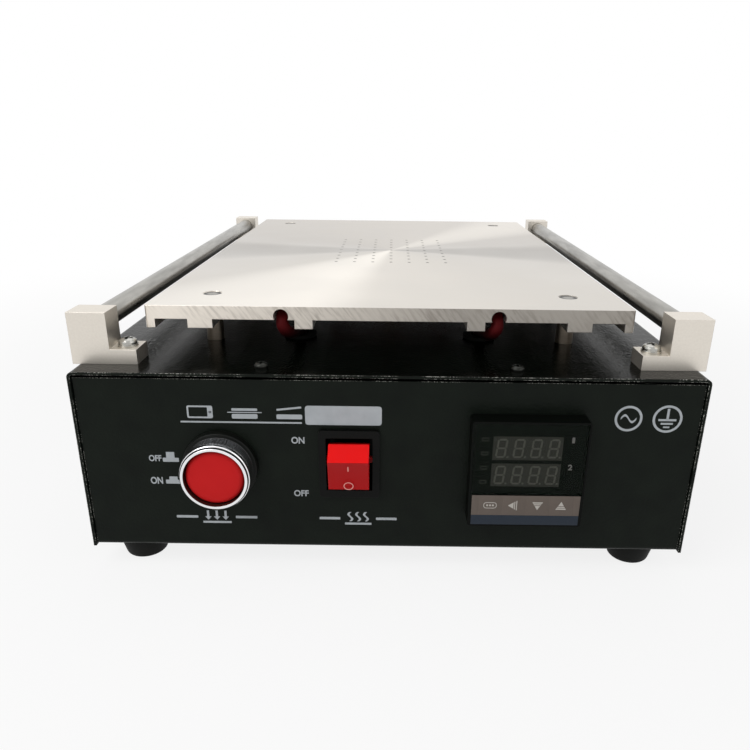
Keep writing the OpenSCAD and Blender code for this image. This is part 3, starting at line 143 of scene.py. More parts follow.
def moulded(name, colour, cloud, roughness, grain, depth=0.01, edge=0.3, specular=0.15, **looks):
    """Moulded plastic or rubber: a grain of fine bumps from the mould, and a faint clouding of the
    colour six times as wide. Grain, depth and edge in mm."""
    material, tree, place = new_material(name)
    pits = add(tree, "TexNoise", {"Vector": place, "Scale": 1 / (grain * mm), "Detail": 1.0})
    haze = add(tree, "TexNoise", {"Vector": place, "Scale": 1 / (6 * grain * mm)})
    tone = add(tree, "Mix", {0: haze, 6: linear(colour), 7: linear(cloud)}, data_type="RGBA")
    gloss = add(
        tree, "MapRange",
        {"Value": haze, "To Min": 0.9 * roughness, "To Max": min(1.1 * roughness, 1)},
    )
    looks = {socket.replace("_", " ").title(): value for socket, value in looks.items()}
    sockets = {"Base Color": tone, "Roughness": gloss, "Specular IOR Level": specular, **looks}
    finished(tree, pits, 0.5, depth, edge, sockets)
    return material


def worked_metal(name, colour, mark_colour, roughness, marks, depth=0.01, edge=0.3):
    """A metal with the marks of its making: noise stretched by the mark's length along each axis,
    in mm, colours and roughens it and gives it relief. Depth and edge in mm."""
    material, tree, place = new_material(name)
    scaled = add(tree, "Mapping", {"Vector": place, "Scale": [1 / (length * mm) for length in marks]})
    streaks = add(tree, "TexNoise", {"Vector": scaled, "Scale": 1.0, "Detail": 3.0})
    blotches = add(tree, "TexNoise", {"Vector": place, "Scale": 1 / (14 * mm)})
    tone = add(tree, "Mix", {0: streaks, 6: linear(colour), 7: linear(mark_colour)}, data_type="RGBA")
    gloss = add(tree, "MapRange", {"Value": blotches, "To Min": 0.8 * roughness, "To Max": 1.2 * roughness})
    finished(tree, streaks, 0.4, depth, edge, {"Base Color": tone, "Metallic": 1.0, "Roughness": gloss})
    return material


rubber = moulded("moulded_black_rubber", "#0f100f", "#191a18", 0.62, 0.7, 0.03, specular=0.1)
# Zinc over turned steel: pale, softly bright, with the faint blue and straw of its passivation
zinc = worked_metal("zinc_plated_steel", "#dcdcd8", "#c3c6ca", 0.26, (1.2, 1.2, 1.2), 0.02, edge=0.15)
dress(zinc, "foot_screws", "hex_nuts")


def filleted(corners, steps=5):
    """Rounds the corners (a, b, size) of a profile. Each becomes the curve (1-t)^2 A + 2t(1-t) C
    + t^2 B, where C is the corner and A and B lie its size before and after it."""
    c = np.array(corners, float)
    points, size = c[:, :2], c[:, 2:3]
    before, after = np.roll(points, 1, 0) - points, np.roll(points, -1, 0) - points
    a = points + size * before / np.maximum(np.linalg.norm(before, axis=1, keepdims=True), 1e-9)
    b = points + size * after / np.maximum(np.linalg.norm(after, axis=1, keepdims=True), 1e-9)
    t = np.linspace(0, 1, steps)[None, :, None]
    curve = (1 - t) ** 2 * a[:, None] + 2 * t * (1 - t) * points[:, None] + t**2 * b[:, None]
    curve = curve.reshape(-1, 2)
    return curve[np.linalg.norm(curve - np.roll(curve, 1, 0), axis=1) > 1e-6]


def new_piece(name, points, faces, material, body, replaced=()):
    """A mesh piece with its place in its points (mm), doubles merged, that rides on a body."""
    mesh = bpy.data.meshes.new(name)
    places = np.array(points, float).reshape(-1, 3) * mm
    mesh.from_pydata(places.tolist(), [], [list(face) for face in faces])
    skin = bmesh.new()
    skin.from_mesh(mesh)
    bmesh.ops.remove_doubles(skin, verts=skin.verts, dist=1e-7)
    bmesh.ops.recalc_face_normals(skin, faces=skin.faces)
    skin.to_mesh(mesh)
    skin.free()
    mesh.materials.append(material)
    mesh.shade_smooth()
    mesh.set_sharp_from_angle(angle=math.radians(35))
    piece = bpy.data.objects.new(name, mesh)
    bpy.context.scene.collection.objects.link(piece)
    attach(piece, body)
    if replaced:
        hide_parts(*replaced)
    return piece


def grid_piece(name, grid, loop, material, body, replaced=()):
    """A piece of quads between a grid's points, closed round each row, and from the last row to the
    first if they make a loop."""
    rows, columns = grid.shape[:2]
    i, j = np.meshgrid(np.arange(rows if loop else rows - 1), np.arange(columns), indexing="ij")
    k, l = (i + 1) % rows, (j + 1) % columns
    quads = np.stack([i * columns + j, k * columns + j, k * columns + l, i * columns + l], -1)
    piece = new_piece(name, grid, quads.reshape(-1, 4), material, body, replaced)
    return piece


def angles(count):
    """The angles of points evenly spaced round a circle."""
    return np.linspace(0, 2 * np.pi, count, endpoint=False)


round_steps = 288
on_axis = 1e-4  # a radius in mm so small that its points merge into one


def turned(name, profile, centre, out, material, body, replaced=(), swell=0.0):
    """A profile (radius, height) turned round the axis through centre along out: centre + height out
    + radius (cos a u + sin a v). Swell adds to the radius. A profile that starts on the axis ends
    there, and any other is closed."""
    out = np.array(out, float)
    u = np.array([1.0, 0, 0])
    v = np.cross(out, u)
    a = angles(round_steps)[None, :, None]
    radius = profile[:, 0, None] + swell
    grid = (
        np.array(centre, float)
        + profile[:, 1, None, None] * out
        + radius[:, :, None] * (np.cos(a) * u + np.sin(a) * v)
    )
    return grid_piece(name, grid, profile[0, 0] > on_axis, material, body, replaced)


up, outward = (0, 0, 1), (0, -1, 0)
foot_profile = filleted([
    (2.15, 5, 0), (4.8, 5, 0.3), (4.8, 0, 0.3), (8.9, 0, 1.6), (11.75, 11, 0.15), (2.15, 11, 0),
])
for end, y in (("front", -154.8), ("rear", 165.2)):
    for side, x in (("left", -112.5), ("right", 112.5)):
        turned(
            f"rubber_foot_{end}_{side}", foot_profile, (x, y, 0), up, rubber, "case",
            [f"foot_{end}_{side}"],
        )

# Print on the front panel: light grey epoxy ink, screen printed straight on the powder coat, a
# few hundredths of a millimetre thick. Pictures stand where other panels have words.
ink_depth = 0.06
ink = moulded("screen_printed_grey_ink", "#c3c8cc", "#aeb4b8", 0.6, 0.8, edge=0.02)


def flat_mesh(curve):
    """The mesh of a flat curve or a word, which is given the ink's thickness."""
    curve.dimensions = "2D"
    curve.fill_mode = "BOTH"
    curve.extrude = ink_depth / 2
    shape = bpy.data.objects.new("outline", curve)
    mesh = bpy.data.meshes.new_from_object(shape)
    bpy.data.objects.remove(shape)
    return mesh


def filled(*outlines):
    """A flat mesh inside closed outlines (x, y) in mm; an outline inside another is its hole."""
    curve = bpy.data.curves.new("outline", "CURVE")
    for outline in outlines:
        spline = curve.splines.new("POLY")
        spline.points.add(len(outline) - 1)
        spline.points.foreach_set("co", np.pad(outline, ((0, 0), (0, 2))).ravel())
        spline.use_cyclic_u = True
    return flat_mesh(curve)


def word(letters, left, right, low, high):
    """A flat mesh of letters, stretched to reach from left to right and from low to high."""
    curve = bpy.data.curves.new("word", "FONT")
    curve.body = letters
    curve.offset = 0.025
    mesh = flat_mesh(curve)
    points = np.empty(3 * len(mesh.vertices))
    mesh.vertices.foreach_get("co", points)
    points = points.reshape(-1, 3)
    start, size = points.min(0), np.ptp(points, 0)
    points[:, 0] = left + (points[:, 0] - start[0]) / size[0] * (right - left)
    points[:, 1] = low + (points[:, 1] - start[1]) / size[1] * (high - low)
    mesh.vertices.foreach_set("co", points.ravel())
    return mesh


def box_outline(left, right, low, high, corner=0.3):
    """A rectangle with rounded corners."""
    return filleted([(left, low, corner), (right, low, corner), (right, high, corner), (left, high, corner)])


def boxes(*edges):
    """Flat meshes of rectangles: their left, right, low and high edges, and their corners."""
    return [filled(box_outline(*edge)) for edge in edges]


def ring_outlines(x, y, width, height, line):
    """The outer and the inner edge of an oval line."""
    a = angles(48)[:, None]
    oval = np.hstack([np.cos(a), np.sin(a)]) / 2
    return [(x, y) + oval * (width, height), (x, y) + oval * (width - 2 * line, height - 2 * line)]


def printed(name, parts, lay, material, body):
    """Joins flat meshes into one film of ink and lays it with lay, which takes points in mm."""
    film = bmesh.new()
    for part in parts:
        film.from_mesh(part)
        bpy.data.meshes.remove(part)
    film.verts.index_update()
    points = np.array([vertex.co for vertex in film.verts])
    faces = [[vertex.index for vertex in face.verts] for face in film.faces]
    film.free()
    return new_piece(name, lay(points), faces, material, body)


def laid(x, face, z):
    """A function that lays flat points on a face towards the front, around a place on it."""
    return lambda points: np.column_stack([
        points[:, 0] + x, face - ink_depth / 2 - points[:, 2], points[:, 1] + z,
    ])


def wave_outline(x, low, high, line, swing):
    """A rising wavy line: its middle is x + swing sin(2 pi share of its height)."""
    painted_sheen = np.linspace(0, 1, 24)
    middle = x + swing * np.sin(2 * np.pi * painted_sheen)
    height = low + (high - low) * painted_sheen
    left, right = np.column_stack([middle - line / 2, height]), np.column_stack([middle + line / 2, height])
    return np.vstack([left, right[::-1]])


def arrow_outline(x, low, high, width, line):
    """An arrow that points down."""
    neck = low + width * 0.6
    return np.array([
        (x, low), (x + width / 2, neck), (x + line / 2, neck), (x + line / 2, high),
        (x - line / 2, high), (x - line / 2, neck), (x - width / 2, neck),
    ])


prints = {}
# The button's two pictures: a cap on its base, let out and pressed in
prints["button_words"] = [
    word("OFF", -101, -95.7, 40.2, 43.1),
    word("ON", -101.4, -96.2, 29.4, 32.7),
    *[
        filled(filleted([
            (x, z, 0.3), (x + 6.8, z, 0.3), (x + 6.8, z + 1.9, 0.3), (x + 5.1, z + 1.9, 0.2),
            (x + 5.1, z + cap, 0.3), (x + 1.6, z + cap, 0.3), (x + 1.6, z + 1.9, 0.2), (x, z + 1.9, 0.3),
        ]))
        for x, z, cap in ((-95.2, 40, 4.6), (-94.9, 29.6, 3.4))
    ],
]
# Air drawn down through a plate, and warmth that rises from one
prints["suction_picture"] = [
    *boxes((-92, -82.6, 12.9, 14.1), (-66.2, -56.8, 12.9, 14.1), (-80.6, -68.2, 10.4, 11.4, 0.2)),
    *[filled(arrow_outline(x, 12, 16.6, 2.8, 1)) for x in (-78.2, -74.4, -70.6)],
]
prints["heating_picture"] = [
    *boxes((-29.6, -20.6, 12.9, 14.1), (-5, 4, 12.9, 14.1), (-18.6, -7, 10.4, 11.4, 0.2)),
    *[filled(wave_outline(x, 12.1, 16.7, 1, 0.8)) for x in (-16.2, -12.8, -9.4)],
]
prints["rocker_words"] = [word("ON", -40.5, -35, 49.2, 52.3), word("OFF", -40.3, -34, 24.2, 27.2)]
# A tablet, a wire under its screen, and the screen lifted off; then a rule and a blank field
prints["tablet_pictures"] = [
    filled(box_outline(-83, -72.4, 60.3, 65.9, 0.9), box_outline(-82.3, -74.6, 61, 65.2, 0.4)),
    filled(*ring_outlines(-73.5, 63.1, 1.1, 1.1, 0.3)),
    *boxes(
        (-64.6, -54, 60.3, 62.4, 0.6), (-66.4, -52.2, 62.9, 63.3, 0.1), (-64.6, -54, 63.8, 64.9, 0.4),
        (-46.2, -35.6, 60.3, 62.4, 0.6),
    ),
    filled(filleted([(-46, 64, 0.2), (-35.8, 65.2, 0.2), (-35.9, 66, 0.2), (-46.1, 64.8, 0.2)])),
    *boxes((-86, -35.8, 58.3, 59, 0.2), (-34.4, -2.8, 57.9, 66.4, 1.4)),
]
# Round marks: alternating current, a wave on its side, and the terminal for protective earth
prints["round_marks"] = [
    filled(*ring_outlines(98.6, 62.4, 11.4, 11.4, 1)),
    filled(wave_outline(62.4, 95.4, 101.8, 1, 1.5)[:, ::-1]),
    filled(*ring_outlines(114.6, 62.4, 12.2, 12.2, 1)),
    *boxes(
        (114.1, 115.1, 62.3, 67, 0.1), (110.9, 118.3, 61.5, 62.4, 0.1), (112.1, 117.1, 59.9, 60.7, 0.1),
        (113.3, 115.9, 58.4, 59.1, 0.1),
    ),
]
for name, parts in prints.items():
    printed(f"ink_{name}", parts, laid(0, -169.8, 12.5), ink, "case")

# Suction button: a black collar against the panel, a chrome plated ring with a knurled grip, and
# a red translucent cap that sinks when it is pressed. Its threaded body and nut are behind.
chrome = worked_metal("polished_chrome_plate", "#f1f1f2", "#e4e5e7", 0.07, (9, 9, 9), 0.004, edge=0.02)
black_abs = moulded("moulded_black_abs", "#0d0f0d", "#151714", 0.34, 0.5, 0.02, specular=0.12)
# Clear red acrylic, moulded with a satin face: deep red inside, evenly lit
red_lens = moulded(
    "satin_red_acrylic", "#d42123", "#da2527", 0.4, 1.2, edge=0.05, specular=0.08,
    subsurface_weight=0.2, subsurface_scale=0.002,
)
dress(black_abs, "button_body")
dress(zinc, "button_nut")
button_axis = (-70.6, -169.8, 51.45)


def off_axis(tree, place, axis, across):
    """How far a place lies off an axis (mm), in the directions across it: a vector and its length."""
    offset = add(tree, "VectorMath", {0: place, 1: [mm * part for part in axis]}, operation="SUBTRACT")
    level = add(tree, "VectorMath", {0: offset, 1: across}, operation="MULTIPLY")
    return level, add(tree, "VectorMath", {0: level}, operation="LENGTH")


def tinted(material, painted_sheen, colour):
    """Lays a colour over the surface's own by a share that may change from place to place."""
    tree = material.node_tree
    base = tree.nodes["Principled BSDF"].inputs["Base Color"]
    mix = add(tree, "Mix", {0: painted_sheen, 6: base.links[0].from_socket, 7: linear(colour)}, data_type="RGBA")
    tree.links.new(mix.outputs[2], base)


tree = chrome.node_tree
place = tree.nodes[0].outputs["Object"]
# The grip's chrome is painted a darker grey, as painted shade; the grip ends 179.5 mm in front of the middle
grip_end_y = -179.5
forward = add(tree, "SeparateXYZ", {0: place})
shaded_grip = add(
    tree, "MapRange",
    {"Value": forward.outputs[1], "From Min": (grip_end_y - 0.2) * mm, "From Max": grip_end_y * mm},
)
tinted(chrome, shaded_grip, "#b4b4b6")
# The ring's inner wall, 12.5 mm from the axis, is painted dark, dull and not metallic, as painted shade in
# the recess round the cap
full_shade_r, no_shade_r = 12.54, 12.64
radius = off_axis(tree, place, button_axis, (1, 0, 1))[1]
wall_shade = add(tree, "MapRange", {"Value": radius, "From Min": no_shade_r * mm, "From Max": full_shade_r * mm})
tinted(chrome, wall_shade, "#3a1c18")
metal_share = add(tree, "MapRange", {"Value": wall_shade, "To Min": 1.0, "To Max": 0.0})
tree.links.new(metal_share.outputs[0], tree.nodes["Principled BSDF"].inputs["Metallic"])
turned(
    "collar_ring", filleted([(11.05, 0, 0), (15.75, 0, 0), (15.75, 3.5, 0.7), (11.05, 3.5, 0)]),
    button_axis, outward, black_abs, "case", ["button_collar"],
)
# The grip's side has a row of points every 0.2 mm, to hold the knurls
ring_profile = filleted([
    (11.05, 3.5, 0), *[(14, height, 0) for height in np.linspace(3.5, 9.7, 32)],
    (14.5, 10.1, 0.2), (14.5, 12.1, 0.5), (13.7, 12.4, 0.05), (13.7, 13.4, 0.3), (12.5, 13.4, 0.3),
    (12.5, 4.4, 0), (11.05, 4.4, 0),
])
# Diamond knurls: two families of 36 crossed helices, 0.28 mm high where they meet
turn = angles(round_steps)
height = ring_profile[:, 1, None]
rib = 0.28 * np.clip(0.5 + 0.9 * np.cos(36 * turn - 2.6 * height) * np.cos(36 * turn + 2.6 * height), 0, 1)
on_grip = (ring_profile[:, 0] > 13.9) & (ring_profile[:, 1] < 9.6) & (ring_profile[:, 1] > 3.6)
turned(
    "chrome_ring", ring_profile, button_axis, outward, chrome, "case", ["button_bezel"],
    on_grip[:, None] * rib,
)
# A black rubber ring in the groove between the front band and the shoulder, put there as painted shade of
# the groove
a = angles(12)
groove_shade_profile = np.column_stack([13.8 + 0.32 * np.cos(a), 12.55 + 0.32 * np.sin(a)])
turned("ring_groove_shade", groove_shade_profile, button_axis, outward, rubber, "case")
cap_profile = filleted([
    (on_axis, 12.2, 0), (12.2, 12.2, 2.4), (12.2, 8.8, 0.2), (5, 8.8, 0), (5, -6.2, 0.5),
    (on_axis, -6.2, 0),
])
turned("red_cap", cap_profile, button_axis, outward, red_lens, "suction_button", ["button_cap"])

# Heating switch: a glossy nylon frame snapped into the panel and a translucent red rocker that
# tilts in it, off at rest, with a bar and a ring in white paint on its hollow face.
nylon = moulded("glossy_black_nylon", "#080908", "#0e0f0e", 0.28, 0.9, 0.008, specular=0.1)
# Polycarbonate tinted red; faces that turn up are painted a brighter red, as painted light from above
red_polycarbonate = moulded(
    "translucent_red_polycarbonate", "#b81518", "#c01719", 0.2, 1.6, 0.006, edge=0.35, specular=0.1,
    subsurface_weight=0.3, subsurface_scale=0.002,
)
tree = red_polycarbonate.node_tree
facing = add(tree, "SeparateXYZ", {0: tree.nodes[0].outputs["Normal"]})
painted_top_light = add(tree, "MapRange", {"Value": facing.outputs[2], "From Min": 0.2, "From Max": 0.6})
tinted(red_polycarbonate, painted_top_light, "#ff1618")
# White paint so thin that the red shows through it
white_paint = moulded("thin_white_paint", "#ffb8b0", "#f2a8a0", 0.5, 0.8, edge=0.02)
brass = worked_metal("rolled_brass", "#d6b06a", "#c79c52", 0.3, (6, 0.8, 6), edge=0.1)
dress(nylon, "rocker_frame")
dress(red_polycarbonate, "rocker_actuator")
dress(brass, "rocker_terminals")
rocker_pivot, rocker_tilt = (-16.3, -167.8, 53.85), math.radians(15)
rocker_face, rocker_dish_r, rocker_face_h = 10.8, 60, 14.8


def on_rocker(points):
    """Lays flat points just in front of the rocker's hollow face, on a cylinder of radius R whose
    axis is level: depth = sqrt(R^2 - height^2) - sqrt(R^2 + (face height / 2)^2) - face, and tilts
    them with it."""
    x, height, lift = points.T
    depth = np.sqrt(rocker_dish_r**2 - height**2) - math.hypot(rocker_dish_r, rocker_face_h / 2)
    depth -= rocker_face + ink_depth / 2 + lift
    cos, sin = math.cos(rocker_tilt), math.sin(rocker_tilt)
    return rocker_pivot + np.column_stack([x, cos * depth - sin * height, sin * depth + cos * height])


printed(
    "paint_rocker_marks",
    [filled(box_outline(-0.22, 0.22, 3.3, 6, 0.1)), filled(*ring_outlines(0, -4.8, 4.1, 3.9, 0.34))],
    on_rocker, white_paint, "heating_rocker",
)

# Temperature controller: a black case through the panel, a bezel with a smoked window over two
# rows of digits, and four keys under a printed film. Digits are unlit, as the power is off.
controller_x, controller_z, controller_face = 57.7, 52.25, -178.1
digit_face_y, window_t, film_t = -176.5, 1.0, 0.12


def block(name, low, high, edge, material, body, replaced=()):
    """A box between two corners (mm) with rounded edges."""
    low, high = np.array(low, float), np.array(high, float)
    box = bmesh.new()
    bmesh.ops.create_cube(box, size=1)
    for corner in box.verts:
        corner.co = (low + high) / 2 + np.array(corner.co) * (high - low)
    bmesh.ops.bevel(box, geom=box.edges[:], offset=edge, segments=3, profile=0.5, affect="EDGES")
    box.verts.index_update()
    points = [vertex.co[:] for vertex in box.verts]
    faces = [[vertex.index for vertex in face.verts] for face in box.faces]
    box.free()
    return new_piece(name, points, faces, material, body, replaced)


def bar_outline(start, end, stroke=0.8, gap=0.1):
    """One bar of a digit: a hexagon pointed at both ends, a little short of them."""
    start, end = np.array(start, float), np.array(end, float)
    along = (end - start) / np.linalg.norm(end - start)
    across = np.array([-along[1], along[0]]) * stroke / 2
    tip, root = gap * along, (gap + stroke / 2) * along
    return np.array([
        start + tip, start + root + across, end - root + across,
        end - tip, end - root - across, start + root - across,
    ])


def digit_outlines(x, z, half_w=1.75, half_h=3.9, lean=0.11, dot=0.4):
    """The seven bars and the point of a leaning digit: x shifts by lean times the height."""
    bars = [bar_outline((-half_w, level), (half_w, level)) for level in (-half_h, 0, half_h)]
    bars += [
        bar_outline((side, low), (side, low + half_h))
        for side in (-half_w, half_w) for low in (-half_h, 0)
    ]
    bars.append(box_outline(half_w + 0.9, half_w + 0.9 + 2 * dot, -half_h - dot, -half_h + dot, 0.2))
    return [bar @ [[1, 0], [lean, 1]] + (x, z) for bar in bars]


# Smoked acrylic: two thirds of what lies behind shows through it, and its face mirrors softly
smoked_acrylic = moulded(
    "smoked_acrylic", "#141c15", "#161e17", 0.16, 3.0, 0.004, edge=0.1, specular=0.1, alpha=0.35,
)
# Polyester films, printed on their backs: even and satin, with a warm grey or a blue ground
grey_film = moulded("grey_polyester_film", "#70665f", "#695f58", 0.45, 0.6, edge=0.02)
blue_film = moulded("blue_polyester_film", "#2a323d", "#2f3742", 0.42, 0.6, edge=0.02)
film_ink = moulded("pale_film_ink", "#cbc6bf", "#c0bbb4", 0.5, 0.8, edge=0.02)
number_ink = moulded("white_number_ink", "#e9e6e2", "#dcd8d4", 0.5, 0.8, edge=0.02)
digit_epoxy = moulded("grey_digit_epoxy", "#74736b", "#6c6b63", 0.5, 0.6, edge=0.05)
digit_bars = moulded("clear_digit_bars", "#aeaca1", "#a3a196", 0.35, 0.9, edge=0.03)
fine_abs = moulded("fine_black_abs", "#050705", "#090b09", 0.3, 0.5, specular=0.07)
dress(fine_abs, "controller_case", "controller_bezel", "controller_clamp")
dress(digit_epoxy, "digit_displays")
dress(grey_film, "key_set", "key_shift", "key_down", "key_up")
pane = block(
    "smoked_pane",
    (controller_x - 23.1, controller_face, controller_z - 9),
    (controller_x + 23.1, controller_face + window_t, controller_z + 23.1),
    0.15, smoked_acrylic, "case", ["controller_window"],
)
in_window = laid(controller_x, digit_face_y, controller_z)
for row, z in (("upper", 11.7), ("lower", -0.5)):
    bars = [
        filled(outline)
        for place in (-1.5, -0.5, 0.5, 1.5) for outline in digit_outlines(-0.8 + 7.1 * place, z)
    ]
    printed(f"digit_bars_{row}", bars, in_window, digit_bars, "case")
lamps = [
    filled(
        box_outline(-19.7, -16.9, z - 0.8, z + 0.8), box_outline(-19.4, -17.2, z - 0.5, z + 0.5, 0.2),
    )
    for z in (15.6, 9.3, 2.8, -3.8)
]
printed("window_lamps", lamps, in_window, digit_epoxy, "case")
numbers = [word("1", 16.9, 18, 14.4, 16.9), word("2", 16.4, 18.2, 2.1, 4.6)]
printed("window_numbers", numbers, in_window, number_ink, "case")


def film(name, left, right, low, high, material, body):
    """A film on the controller's face."""
    return block(
        name,
        (controller_x + left, controller_face - film_t, controller_z + low),
        (controller_x + right, controller_face - 0.01, controller_z + high),
        0.01, material, body,
    )


film("film_end_left", -22.6, -19.81, -18.56, -9.24, grey_film, "case")
film("film_end_right", 19.81, 22.6, -18.56, -9.24, grey_film, "case")
film("film_name_strip", -22.6, 22.6, -23.1, -18.61, blue_film, "case")
key_icons = {
    "set": [
        filled(box_outline(-2.8, 2.8, -1.45, 1.45, 1.4), box_outline(-2.5, 2.5, -1.15, 1.15, 1.1)),
        *boxes(*[(x - 0.4, x + 0.4, -0.4, 0.4, 0.2) for x in (-1.2, 0, 1.2)]),
    ],
    "shift": [
        filled([(-2.4, 0), (-0.1, -1.5), (-0.1, 1.5)]),
        filled([(0.2, -1.7), (0.6, -1.9), (0.6, 1.9), (0.2, 1.7)]),
        filled([(1, -2.1), (1.4, -2.3), (1.4, 2.3), (1, 2.1)]),
    ],
}
arrow = [
    [(-2.2, -1.7), (2.2, -1.7), (1.9, -1.1), (-1.9, -1.1)],
    [(-1.7, -0.8), (1.7, -0.8), (1.4, -0.3), (-1.4, -0.3)],
    [(-1.2, 0), (1.2, 0), (0, 2)],
]
for key, point in (("down", -1), ("up", 1)):
    key_icons[key] = [filled([(x, point * height) for x, height in part]) for part in arrow]
for place, (key, icon) in zip((-14.85, -4.95, 4.95, 14.85), key_icons.items()):
    key_film = film(f"film_key_{key}", place - 4.945, place + 4.945, -18.56, -9.24, grey_film, f"{key}_key")
    printed(
        f"ink_key_{key}", icon,
        laid(controller_x + place, controller_face - film_t, controller_z - 13.9), film_ink, f"{key}_key",
    )

# Equipment inside the case: vacuum pump with a small motor, solid state relay, sheet metal power
# supply, terminal block, and the mains inlet on the rear panel. None shows from outside but the inlet.
motor_steel = worked_metal("drawn_motor_steel", "#c9c9c7", "#b4b4b2", 0.34, (2, 9, 2))
galvanised = worked_metal("galvanised_sheet", "#c3c6c8", "#abafb2", 0.42, (7, 7, 7))
black_nylon = moulded("glass_filled_black_nylon", "#1b1c1d", "#242526", 0.55, 0.6, 0.03)
diaphragm_rubber = moulded("nitrile_rubber", "#1d1d1d", "#262625", 0.66, 0.8, 0.02)
relay_plastic = moulded("ivory_relay_plastic", "#cfcabb", "#c6c1b1", 0.4, 0.7, 0.02)
terminal_plastic = moulded("white_terminal_nylon", "#e0ddd0", "#d6d3c5", 0.45, 0.7, 0.02)
nickel = worked_metal("nickel_plated_brass", "#d5d2cb", "#c4c1b9", 0.22, (1, 6, 1), 0.006, edge=0.15)
dress(motor_steel, "pump_motor", "pump_rotor")
dress(galvanised, "pump_bracket", "power_supply")
dress(black_nylon, "pump_crankcase", "pump_head", "power_inlet")
dress(diaphragm_rubber, "pump_diaphragm")
dress(relay_plastic, "solid_state_relay")
dress(terminal_plastic, "terminal_block")
dress(nickel, "inlet_pins")
dress(zinc, "chassis_screws")

# Heating plate: an extruded aluminium section whose top is fly cut in wide arcs round its middle
# and whose ends are sawn. It stands on aluminium standoffs, held by four sunk screws.
plate_middle_y = 5.2
hole_pitch, hole_columns, hole_rows = 10.5, 7, 9
hole_low_z, hole_high_z, hole_field_r = 108.5, 113.9, 60


